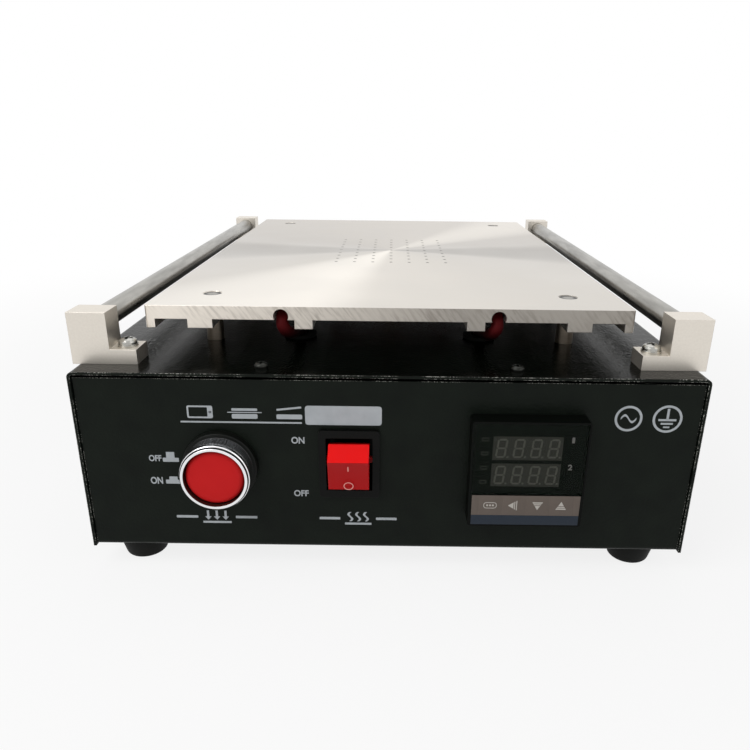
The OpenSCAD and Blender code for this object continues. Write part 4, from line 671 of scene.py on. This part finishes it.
def plate_metal():
    """Fly-cut top: rings round the middle, and a sheen painted in its colour that fans out along the
    radius, painted dull to both sides and bright to the front and to the rear right, as painted highlights
    and shade. The ends show patches of slanting saw marks and are painted pale to the left, grey to the
    right, as painted light from the left; the vacuum holes are painted dark inside and round their rims, as
    painted shade."""
    material, tree, place = new_material("fly_cut_aluminium")
    facing = add(tree, "SeparateXYZ", {0: tree.nodes[0].outputs["Normal"]})
    sawn = add(tree, "Math", {0: facing.outputs[1]}, operation="ABSOLUTE")
    level, length = off_axis(tree, place, (0, plate_middle_y, 0), (1, 1, 0))
    rings = add(
        tree, "TexNoise", {"W": length, "Scale": 1 / (1.1 * mm), "Detail": 3.0},
        noise_dimensions="1D",
    )
    turned_marks = add(tree, "Mapping", {"Vector": place, "Rotation": (0, math.radians(38), 0)})
    strokes = add(tree, "Mapping", {"Vector": turned_marks, "Scale": (1 / (1.3 * mm), 0, 1 / (9 * mm))})
    saw = add(tree, "TexNoise", {"Vector": strokes, "Scale": 1.0, "Detail": 3.0})
    haze = add(tree, "TexNoise", {"Vector": place, "Scale": 1 / (30 * mm)})
    patches = add(
        tree, "MapRange",
        {"Value": haze, "From Min": 0.42, "From Max": 0.6, "To Min": 0.04, "To Max": 0.36},
    )
    cuts = add(tree, "MapRange", {"Value": saw, "From Min": 0.45, "From Max": 0.62})
    mark = add(tree, "Math", {0: cuts, 1: patches}, operation="MULTIPLY")
    top_tone = add(tree, "Mix", {0: rings, 6: linear("#c3beb8"), 7: linear("#cdc8c1")}, data_type="RGBA")
    heading = add(tree, "VectorMath", {0: level}, operation="NORMALIZE")
    # Painted sheen: the colour is painted brighter or darker by the direction from the middle, as painted
    # highlights and painted shade
    for direction, start, end, most, colour in (
        ((0, -1, 0), 0.0, 0.9, 0.8, "#dad5cd"),
        ((-0.42, -0.91, 0), 0.93, 0.998, 0.8, "#f1ece4"),
        ((0.62, 0.78, 0), 0.95, 0.999, 0.6, "#eae5dd"),
        ((0.998, -0.06, 0), 0.93, 0.998, 0.8, "#a49f98"),
        ((-0.998, -0.05, 0), 0.93, 0.998, 0.8, "#a8a39c"),
    ):
        along = add(tree, "VectorMath", {0: heading, 1: direction}, operation="DOT_PRODUCT")
        painted_sheen = add(
            tree, "MapRange",
            {"Value": along, "From Min": start, "From Max": end, "To Max": most},
            interpolation_type="SMOOTHSTEP",
        )
        top_tone = add(tree, "Mix", {0: painted_sheen, 6: top_tone, 7: linear(colour)}, data_type="RGBA")
    # Painted shade round the holes, to 1.15 mm from their middles: the distance to the nearest crossing of
    # their grid, within 7 by 9 of them
    steps = add(tree, "VectorMath", {0: level, 1: (1 / (hole_pitch * mm),) * 3}, operation="MULTIPLY")
    offset = add(tree, "VectorMath", {0: steps, 1: (0.5,) * 3, 2: (-0.5,) * 3}, operation="WRAP")
    away = add(tree, "VectorMath", {0: offset}, operation="LENGTH")
    hole_rim_shade = add(
        tree, "MapRange",
        {"Value": away, "From Min": 1.15 / hole_pitch, "From Max": 0.7 / hole_pitch, "To Max": 0.85},
    )
    count = add(tree, "VectorMath", {0: steps}, operation="ABSOLUTE")
    across = add(tree, "SeparateXYZ", {0: count})
    columns = add(tree, "Math", {0: across.outputs[0], 1: hole_columns / 2}, operation="LESS_THAN")
    rows = add(tree, "Math", {0: across.outputs[1], 1: hole_rows / 2}, operation="LESS_THAN")
    field = add(tree, "Math", {0: columns, 1: rows}, operation="MULTIPLY")
    hole_shade_mask = add(tree, "Math", {0: field, 1: hole_rim_shade}, operation="MULTIPLY")
    top_tone = add(tree, "Mix", {0: hole_shade_mask, 6: top_tone, 7: linear("#1d1b19")}, data_type="RGBA")
    at = add(tree, "SeparateXYZ", {0: place})
    # The sawn ends are painted paler to the left, as painted light from the left
    painted_left_light = add(tree, "MapRange", {"Value": at.outputs[0], "From Min": 30 * mm, "From Max": -100 * mm})
    lit_end_ground = add(tree, "Mix", {0: painted_left_light, 6: linear("#9b968f"), 7: linear("#efe7dc")}, data_type="RGBA")
    end_tone = add(tree, "Mix", {0: mark, 6: lit_end_ground, 7: linear("#5c554d")}, data_type="RGBA")
    tone = add(tree, "Mix", {0: sawn, 6: top_tone, 7: end_tone}, data_type="RGBA")
    # Inside the holes, between 108.5 and 113.9 mm up, the walls are painted near black as painted shade
    among = add(
        tree, "MapRange",
        {"Value": length, "From Min": (hole_field_r + 1) * mm, "From Max": hole_field_r * mm},
    )
    sunk = add(
        tree, "MapRange",
        {"Value": at.outputs[2], "From Min": hole_high_z * mm, "From Max": (hole_high_z - 0.1) * mm},
    )
    upper = add(
        tree, "MapRange",
        {"Value": at.outputs[2], "From Min": hole_low_z * mm, "From Max": (hole_low_z + 0.1) * mm},
    )
    inside = add(tree, "Math", {0: among, 1: sunk}, operation="MULTIPLY")
    hole_wall_shade = add(tree, "Math", {0: inside, 1: upper}, operation="MULTIPLY")
    tone = add(tree, "Mix", {0: hole_wall_shade, 6: tone, 7: linear("#0c0b0a")}, data_type="RGBA")
    marks = add(tree, "Mix", {0: sawn, 2: rings, 3: saw}, data_type="FLOAT")
    gloss = add(tree, "MapRange", {"Value": haze, "To Min": 0.28, "To Max": 0.4})
    finished(tree, marks, 0.5, 0.012, 0.3, {
        "Base Color": tone, "Metallic": 1.0, "Roughness": gloss, "Anisotropic": 0.65, "Tangent": level,
    })
    return material


plate_aluminium = plate_metal()
turned_aluminium = worked_metal("turned_aluminium", "#8f8578", "#786f64", 0.36, (3, 3, 0.5))
plate_screw_steel = worked_metal("dull_zinc_screw", "#a8a59f", "#8b8883", 0.34, (1, 1, 1), edge=0.15)
# Painted shade round the rims of the sunk heads, where they meet their countersinks
screw_x, screw_y, lit_r, shaded_r = 81.7, 125.6, 1.8, 3.2
tree = plate_screw_steel.node_tree
place = tree.nodes[0].outputs["Object"]
from_middle = add(tree, "VectorMath", {0: place, 1: (0, plate_middle_y * mm, 0)}, operation="SUBTRACT")
folded = add(tree, "VectorMath", {0: from_middle}, operation="ABSOLUTE")
radius = off_axis(tree, folded, (screw_x, screw_y, 0), (1, 1, 0))[1]
rim_shade = add(tree, "MapRange", {"Value": radius, "From Min": lit_r * mm, "From Max": shaded_r * mm})
tinted(plate_screw_steel, rim_shade, "#141312")
dress(plate_aluminium, "heating_plate")
dress(turned_aluminium, "plate_standoffs")
dress(plate_screw_steel, "plate_screws")

# Vacuum chamber under the plate: an aluminium lid on a red silicone gasket, six screws, and a brass
# fitting whose hose runs to the pump. The hose is milky silicone.
silicone = moulded("red_silicone_sheet", "#8a2522", "#7a1f1d", 0.55, 0.8)
clear_silicone = moulded(
    "milky_silicone_hose", "#cfcabd", "#c5c0b3", 0.4, 1.2,
    subsurface_weight=0.4, subsurface_scale=0.004,
)
sheet_aluminium = worked_metal("milled_aluminium_sheet", "#c9c8c4", "#b3b2ae", 0.38, (9, 0.8, 9))
dress(sheet_aluminium, "chamber_lid")
dress(silicone, "chamber_gasket")
dress(zinc, "chamber_screws")
dress(brass, "chamber_fitting")


def smooth(route, steps=8):
    """A curve through a route's points (mm): for t from 0 to 1 between b and c, with neighbours a
    and d, (2b + (c-a)t + (2a-5b+4c-d)t^2 + (3b-a-3c+d)t^3) / 2."""
    p = np.array(route, float)
    a, b, c, d = (p[np.clip(np.arange(len(p) - 1) + shift, 0, len(p) - 1)] for shift in (-1, 0, 1, 2))
    t = np.linspace(0, 1, steps, endpoint=False)[None, :, None]
    a, b, c, d = a[:, None], b[:, None], c[:, None], d[:, None]
    curve = 2 * b + (c - a) * t + (2 * a - 5 * b + 4 * c - d) * t**2 + (3 * b - a - 3 * c + d) * t**3
    return np.vstack([curve.reshape(-1, 3) / 2, p[-1]])


def cord(name, route, base, diameter, side, material, replaced):
    """A closed round tube along the smooth curve of a route, whose points are measured from base:
    centre + radius (cos a u + sin a v). Side is a direction that the curve never follows; u is its
    part across the curve."""
    path = smooth(route) + base
    heading = np.gradient(path, axis=0)
    heading /= np.linalg.norm(heading, axis=1, keepdims=True)
    u = np.array(side, float) - (heading @ np.array(side, float))[:, None] * heading
    u /= np.linalg.norm(u, axis=1, keepdims=True)
    v = np.cross(heading, u)
    a = angles(24)[None, :, None]
    ring = np.cos(a) * u[:, None] + np.sin(a) * v[:, None]
    tube = path[:, None] + diameter / 2 * ring
    ends = np.repeat(path[[0, -1], None], 24, axis=1)
    points = np.concatenate([ends[:1], tube, ends[1:]])
    piece = grid_piece(name, points, False, material, "case", [replaced])


above_case, in_case = (0, -169.8, 92.5), (0, -169.8, 11)
along_x, along_y = (1, 0, 0), (0, 1, 0)
hose_route = [
    (0, 175, 67.2), (0, 175, 62.5), (0, 174.4, 57.5), (-3, 172, 50.5), (-12, 164, 45), (-24, 152, 46),
    (-32, 144.5, 52), (-38, 141.4, 56.6), (-43, 141, 58.2), (-46, 141, 58.2), (-47.7, 141, 58.2),
]
cord("silicone_hose", hose_route, in_case, 8, along_y, clear_silicone, "vacuum_hose")

# Heaters: two steel cartridges in the plate's grooves, whose dark red silicone sleeves loop under
# its front edge and go through rubber grommets into the case.
heater_steel = worked_metal("heater_steel", "#a9a6a0", "#8e8a83", 0.36, (1, 8, 1))
sleeve_rubber = moulded("dark_red_silicone_sleeve", "#560f12", "#480c0f", 0.6, 0.7, 0.03, specular=0.08)
# The sleeves are painted near black where they lie under the plate, darker towards the bottom, as painted
# shade
lit_z, shaded_z = 104.5, 99.5
tree = sleeve_rubber.node_tree
above_table = add(tree, "SeparateXYZ", {0: tree.nodes[0].outputs["Object"]})
under_plate_shade = add(
    tree, "MapRange",
    {"Value": above_table.outputs[2], "From Min": lit_z * mm, "From Max": shaded_z * mm},
)
tinted(sleeve_rubber, under_plate_shade, "#160506")
dress(heater_steel, "heater_rods")
dress(rubber, "lead_grommets")
# Both sleeves start alike, mirrored, and part inside the case
sleeve_loop = [
    (46.8, 55.7, 17.1), (46.8, 50, 17.1), (46.8, 42, 17.1), (46.8, 36, 16.9), (46.8, 31, 15.6),
    (46.7, 28.6, 12.8), (45.4, 29.2, 10), (44, 32, 8.2), (43.2, 37, 7.2), (42.8, 43, 6.4),
    (42.6, 49, 5.4), (42.6, 54, 3.4), (42.6, 56, 0),
]
sleeve_right_end = [
    (42.6, 56.4, -3.2), (40.8, 59, -6.4), (36, 63, -7.4), (30, 68.5, -9.6), (26.4, 75, -17),
    (24, 82, -30), (22, 90, -53), (22, 98, -69.5), (22, 101, -71.5), (22, 105.7, -71.5),
]
sleeve_left_end = [
    (42.6, 56.4, -4), (42.6, 58, -14), (42, 62, -28), (39, 68, -44), (33, 78, -61), (28, 90, -69.5),
    (26.4, 98, -71.5), (26.4, 101, -71.5), (26.4, 105.7, -71.5),
]
for side, flip, end, length in (
    ("left", -1, sleeve_left_end, 160.9), ("right", 1, sleeve_right_end, 162.1),
):
    route = [(flip * x, y, z) for x, y, z in sleeve_loop + end]
    cord(
        f"silicone_sleeve_{side}", route, above_case, 5.5, along_x, sleeve_rubber,
        f"heater_sleeve_{side}",
    )

# Leads inside the case: PVC insulated, black for the mains and coloured for the signals. Each
# runs from one connection to the next; none leaves the case.
mains_pvc = moulded("black_pvc", "#1a1a1a", "#232322", 0.45, 0.8)
red_pvc = moulded("red_pvc", "#a82322", "#9a1f1e", 0.42, 0.8)
blue_pvc = moulded("blue_pvc", "#2b4f8e", "#254680", 0.42, 0.8)
for name, length, diameter, side, material, route in (
    ("mains", 353.3, 5, along_x, mains_pvc, [
        (-87, 314.7, 34.7), (-87, 308, 34.7), (-88, 298, 32), (-96, 282, 22), (-107, 262, 10),
        (-112, 238, 6), (-112, 200, 6), (-112, 160, 6), (-110, 126, 8), (-104, 106, 16), (-90, 94, 29),
        (-64, 88, 40), (-40, 75, 45.8), (-27, 58, 47), (-21.7, 48, 49.7), (-21.3, 41, 50.1),
        (-21.3, 36, 50.1), (-21.3, 31.3, 50.1),
    ]),
    ("rocker_output", 80.2, 5, along_x, mains_pvc, [
        (-11.3, 31.3, 34.1), (-11.3, 36, 34.1), (-11.3, 41, 33.7), (-12, 54, 28), (-14, 74, 16),
        (-15.6, 92, 10.4), (-16, 98, 10), (-16, 101, 10), (-16, 105.7, 10),
    ]),
    ("supply", 91.6, 3.6, along_x, mains_pvc, [
        (26, 126.3, 10), (26, 132, 10), (27, 148, 9), (33, 172, 8), (42, 194, 10), (44, 203, 12),
        (44, 209, 12), (44, 214.7, 12),
    ]),
    ("controller", 90, 3.6, up, blue_pvc, [
        (5, 126.3, 10), (5, 131, 10), (9, 138, 16), (20, 142, 30), (31, 136, 39), (41, 121, 34),
        (43.6, 111, 30.6), (44, 106, 30), (44, 100.3, 30),
    ]),
    ("button", 240.4, 3.6, up, red_pvc, [
        (-70.6, 46.3, 40.4), (-70.6, 53, 40.4), (-70, 60, 37.6), (-65, 72, 27), (-54, 87, 14),
        (-44, 104, 8), (-38, 118, 8), (-35.4, 127, 8), (-38, 144, 7), (-36, 170, 5), (-22, 192, 5),
        (4, 220, 7), (14, 232, 9), (20, 235, 12), (25, 235, 12), (29.7, 235, 12),
    ]),
    ("motor", 138.8, 3.6, up, red_pvc, [
        (29.7, 260, 14), (24, 260, 14), (14, 259, 13), (-6, 254, 9), (-38, 244, 8), (-64, 234, 14),
        (-76, 224, 25), (-78, 217, 31), (-78, 212, 32), (-78, 206.3, 32),
    ]),
    ("relay", 36.9, 3.6, along_x, blue_pvc, [
        (70, 100.3, 28), (70, 105, 28), (71, 110, 27), (74, 117, 21), (77, 123, 14), (78, 126, 12),
        (78, 129.7, 12),
    ]),
):
    cord(f"lead_{name}", route, in_case, diameter, side, material, "wiring")

# Temperature probe: a steel tube with eased ends under the plate, held by a clip folded from zinc
# plated strip. Its black lead goes through a grommet to the controller.
probe_route = [
    (94, 149.7, 13.6), (94, 146, 13.6), (94, 141, 13), (94, 136, 10), (94, 132, 5), (94, 130.2, 0),
    (94, 130, -8), (93, 128, -16), (85, 120, -24), (69.7, 112, -28), (61.7, 107, -28),
    (59.7, 104, -28), (59.7, 100.3, -28),
]
cord("probe_lead", probe_route, above_case, 3, along_x, mains_pvc, "sensor_probe")
probe_x, probe_y, probe_z, probe_r = 94, -19.8, 106.1, 2


def rod_profile(radius, length, ease):
    """The profile of a round bar with eased ends."""
    return filleted([(on_axis, 0, 0), (radius, 0, ease), (radius, length, ease), (on_axis, length, 0)])


turned(
    "temperature_probe", rod_profile(probe_r, 25, 0.4), (probe_x, probe_y, probe_z), along_y,
    heater_steel, "case", ["sensor_probe"],
)


def strap(inside, wall, ear, y_ends):
    """A strip folded round the probe: outside (r cos a, r sin a) for a from 180 to 360 degrees, with
    r = inside + wall, inside the same with r = inside, and flat ears up to the plate. Each end is
    closed along the line midway between the two."""
    a = np.linspace(np.pi, 2 * np.pi, 17)
    arc = np.column_stack([np.cos(a), np.sin(a)])
    outer, inner = (
        np.vstack([[-ear, top], [-r, top], r * arc, [r, top], [ear, top]])
        for r, top in ((inside + wall, probe_r - wall), (inside, probe_r))
    )
    ring = np.vstack([outer, inner[::-1]])
    middle = np.vstack([outer + inner, (outer + inner)[::-1]]) / 2
    return np.stack([
        np.column_stack([probe_x + line[:, 0], np.full(len(line), y), probe_z + line[:, 1]])
        for line, y in ((middle, y_ends[0]), (ring, y_ends[0]), (ring, y_ends[1]), (middle, y_ends[1]))
    ])


folded_strip = strap(inside=2.02, wall=1.18, ear=6, y_ends=(-11.3, -3.3))
grid_piece("probe_clip", folded_strip, False, zinc, "case", ["sensor_probe"])

# Wire guides: at each corner an aluminium bracket, milled and bead blasted, on a screw with a
# washer, and between front and rear brackets a ground steel roller with eased ends.
blasted_aluminium = worked_metal("bead_blasted_aluminium", "#e3ddd3", "#d6cfc5", 0.42, (0.9, 0.9, 0.9), 0.02)
# Ground steel: fine marks round the bar and long grey streaks along it
ground_steel = worked_metal("ground_steel", "#c6c4be", "#6f6d69", 0.3, (3.4, 26, 3.4), 0.006)
bright_zinc = worked_metal("bright_zinc_screw", "#b7b6b1", "#9a9994", 0.2, (1, 1, 1), 0.02, edge=0.15)
black_screw = worked_metal("blackened_screw", "#3c3d3a", "#1c1d1b", 0.24, (1, 1, 1), 0.02, edge=0.25)
for end in ("front", "rear"):
    dress(blasted_aluminium, f"guide_bracket_{end}_left", f"guide_bracket_{end}_right")
dress(bright_zinc, "bracket_screws")
dress(black_screw, "cover_screws")
for side, x in (("left", -123.5), ("right", 123.5)):
    turned(
        f"steel_roller_{side}", rod_profile(5, 322, 0.7), (x, -155.8, 108), along_y, ground_steel,
        f"roller_{side}", [f"guide_roller_{side}"],
    )

# Floor and light: a white floor that ends in white, a soft lamp from the left front, a weaker one
# from the right, and a wide one over the back. The lamps light the object at a plain level.


def seen(tree):
    """1 for rays that show the background: from the camera, from a mirror and through glass."""
    path = add(tree, "LightPath", {})
    mirrored = add(
        tree, "Math", {0: path.outputs["Is Camera Ray"], 1: path.outputs["Is Glossy Ray"]}, operation="ADD",
    )
    return add(
        tree, "Math", {0: mirrored, 1: path.outputs["Is Transmission Ray"]},
        operation="ADD", use_clamp=True,
    )


floor_paint, tree, place = new_material("white_floor")
distance = add(tree, "VectorMath", {0: place}, operation="LENGTH")
fade = add(
    tree, "MapRange",
    {"Value": distance, "From Min": 0.2, "From Max": 0.7, "To Min": 0.84},
    interpolation_type="SMOOTHSTEP",
)
shown = add(tree, "Math", {0: fade, 1: seen(tree)}, operation="MULTIPLY")
matt = add(tree, "BsdfDiffuse", {"Color": (0.85, 0.85, 0.85, 1)})
white = add(tree, "Emission", {"Color": (1, 1, 1, 1)})
both = add(tree, "MixShader", {0: shown, 1: matt, 2: white})
add(tree, "OutputMaterial", {"Surface": both})
sheet = bpy.data.meshes.new("floor")
sheet.from_pydata([(-9, -9, 0), (9, -9, 0), (9, 9, 0), (-9, 9, 0)], [], [(0, 1, 2, 3)])
sheet.materials.append(floor_paint)
floor = bpy.data.objects.new("floor", sheet)
bpy.context.scene.collection.objects.link(floor)

world = bpy.data.worlds.new("studio")
bpy.context.scene.world = world
world.use_nodes = True
tree = world.node_tree
tree.nodes.clear()
level = add(tree, "MapRange", {"Value": seen(tree), "To Min": 0.3})
sky = add(tree, "Background", {"Color": (1, 1, 1, 1), "Strength": level})
add(tree, "OutputWorld", {"Surface": sky})

lamp_aim = Vector((0, 0, 0.06))
for name, place, watts, size in (
    ("lamp_left", (-0.65, -0.6, 0.9), 7, 0.8),
    ("lamp_right", (0.7, -0.5, 0.6), 1, 0.6),
    ("lamp_top", (0, 0.3, 1.3), 2.4, 1),
):
    lamp = bpy.data.lights.new(name, "AREA")
    lamp.energy, lamp.size = watts, size
    holder = bpy.data.objects.new(name, lamp)
    holder.location = place
    holder.rotation_euler = (lamp_aim - holder.location).to_track_quat("-Z", "Y").to_euler()
    bpy.context.scene.collection.objects.link(holder)

# Camera: where the photograph was taken from, 0.43 m in front of the middle and 0.18 m up. Its
# view is turned by yaw and pitch, rolled, and shifted as the photograph was cropped.
camera_data = bpy.data.cameras.new("camera")
camera_data.lens, camera_data.sensor_width = 32.4888, 36
camera_data.shift_x, camera_data.shift_y = -0.0189, 0.0115
camera_data.clip_start, camera_data.clip_end = 0.02, 40
camera_place = np.array([0.578, -426.006, 184.546])
yaw, pitch, roll = -0.002, -0.357, 0.0115
forward = np.array([math.sin(yaw) * math.cos(pitch), math.cos(yaw) * math.cos(pitch), math.sin(pitch)])
right = np.array([math.cos(yaw), -math.sin(yaw), 0])
above = np.cross(right, forward)
across = math.cos(roll) * right + math.sin(roll) * above
upright = math.cos(roll) * above - math.sin(roll) * right
camera = bpy.data.objects.new("camera", camera_data)
camera.matrix_world = Matrix.Translation(camera_place * mm) @ Matrix(
    np.column_stack([across, upright, -forward]).tolist()
).to_4x4()
bpy.context.scene.collection.objects.link(camera)
bpy.context.scene.camera = camera
bpy.context.scene.view_settings.view_transform = "Standard"
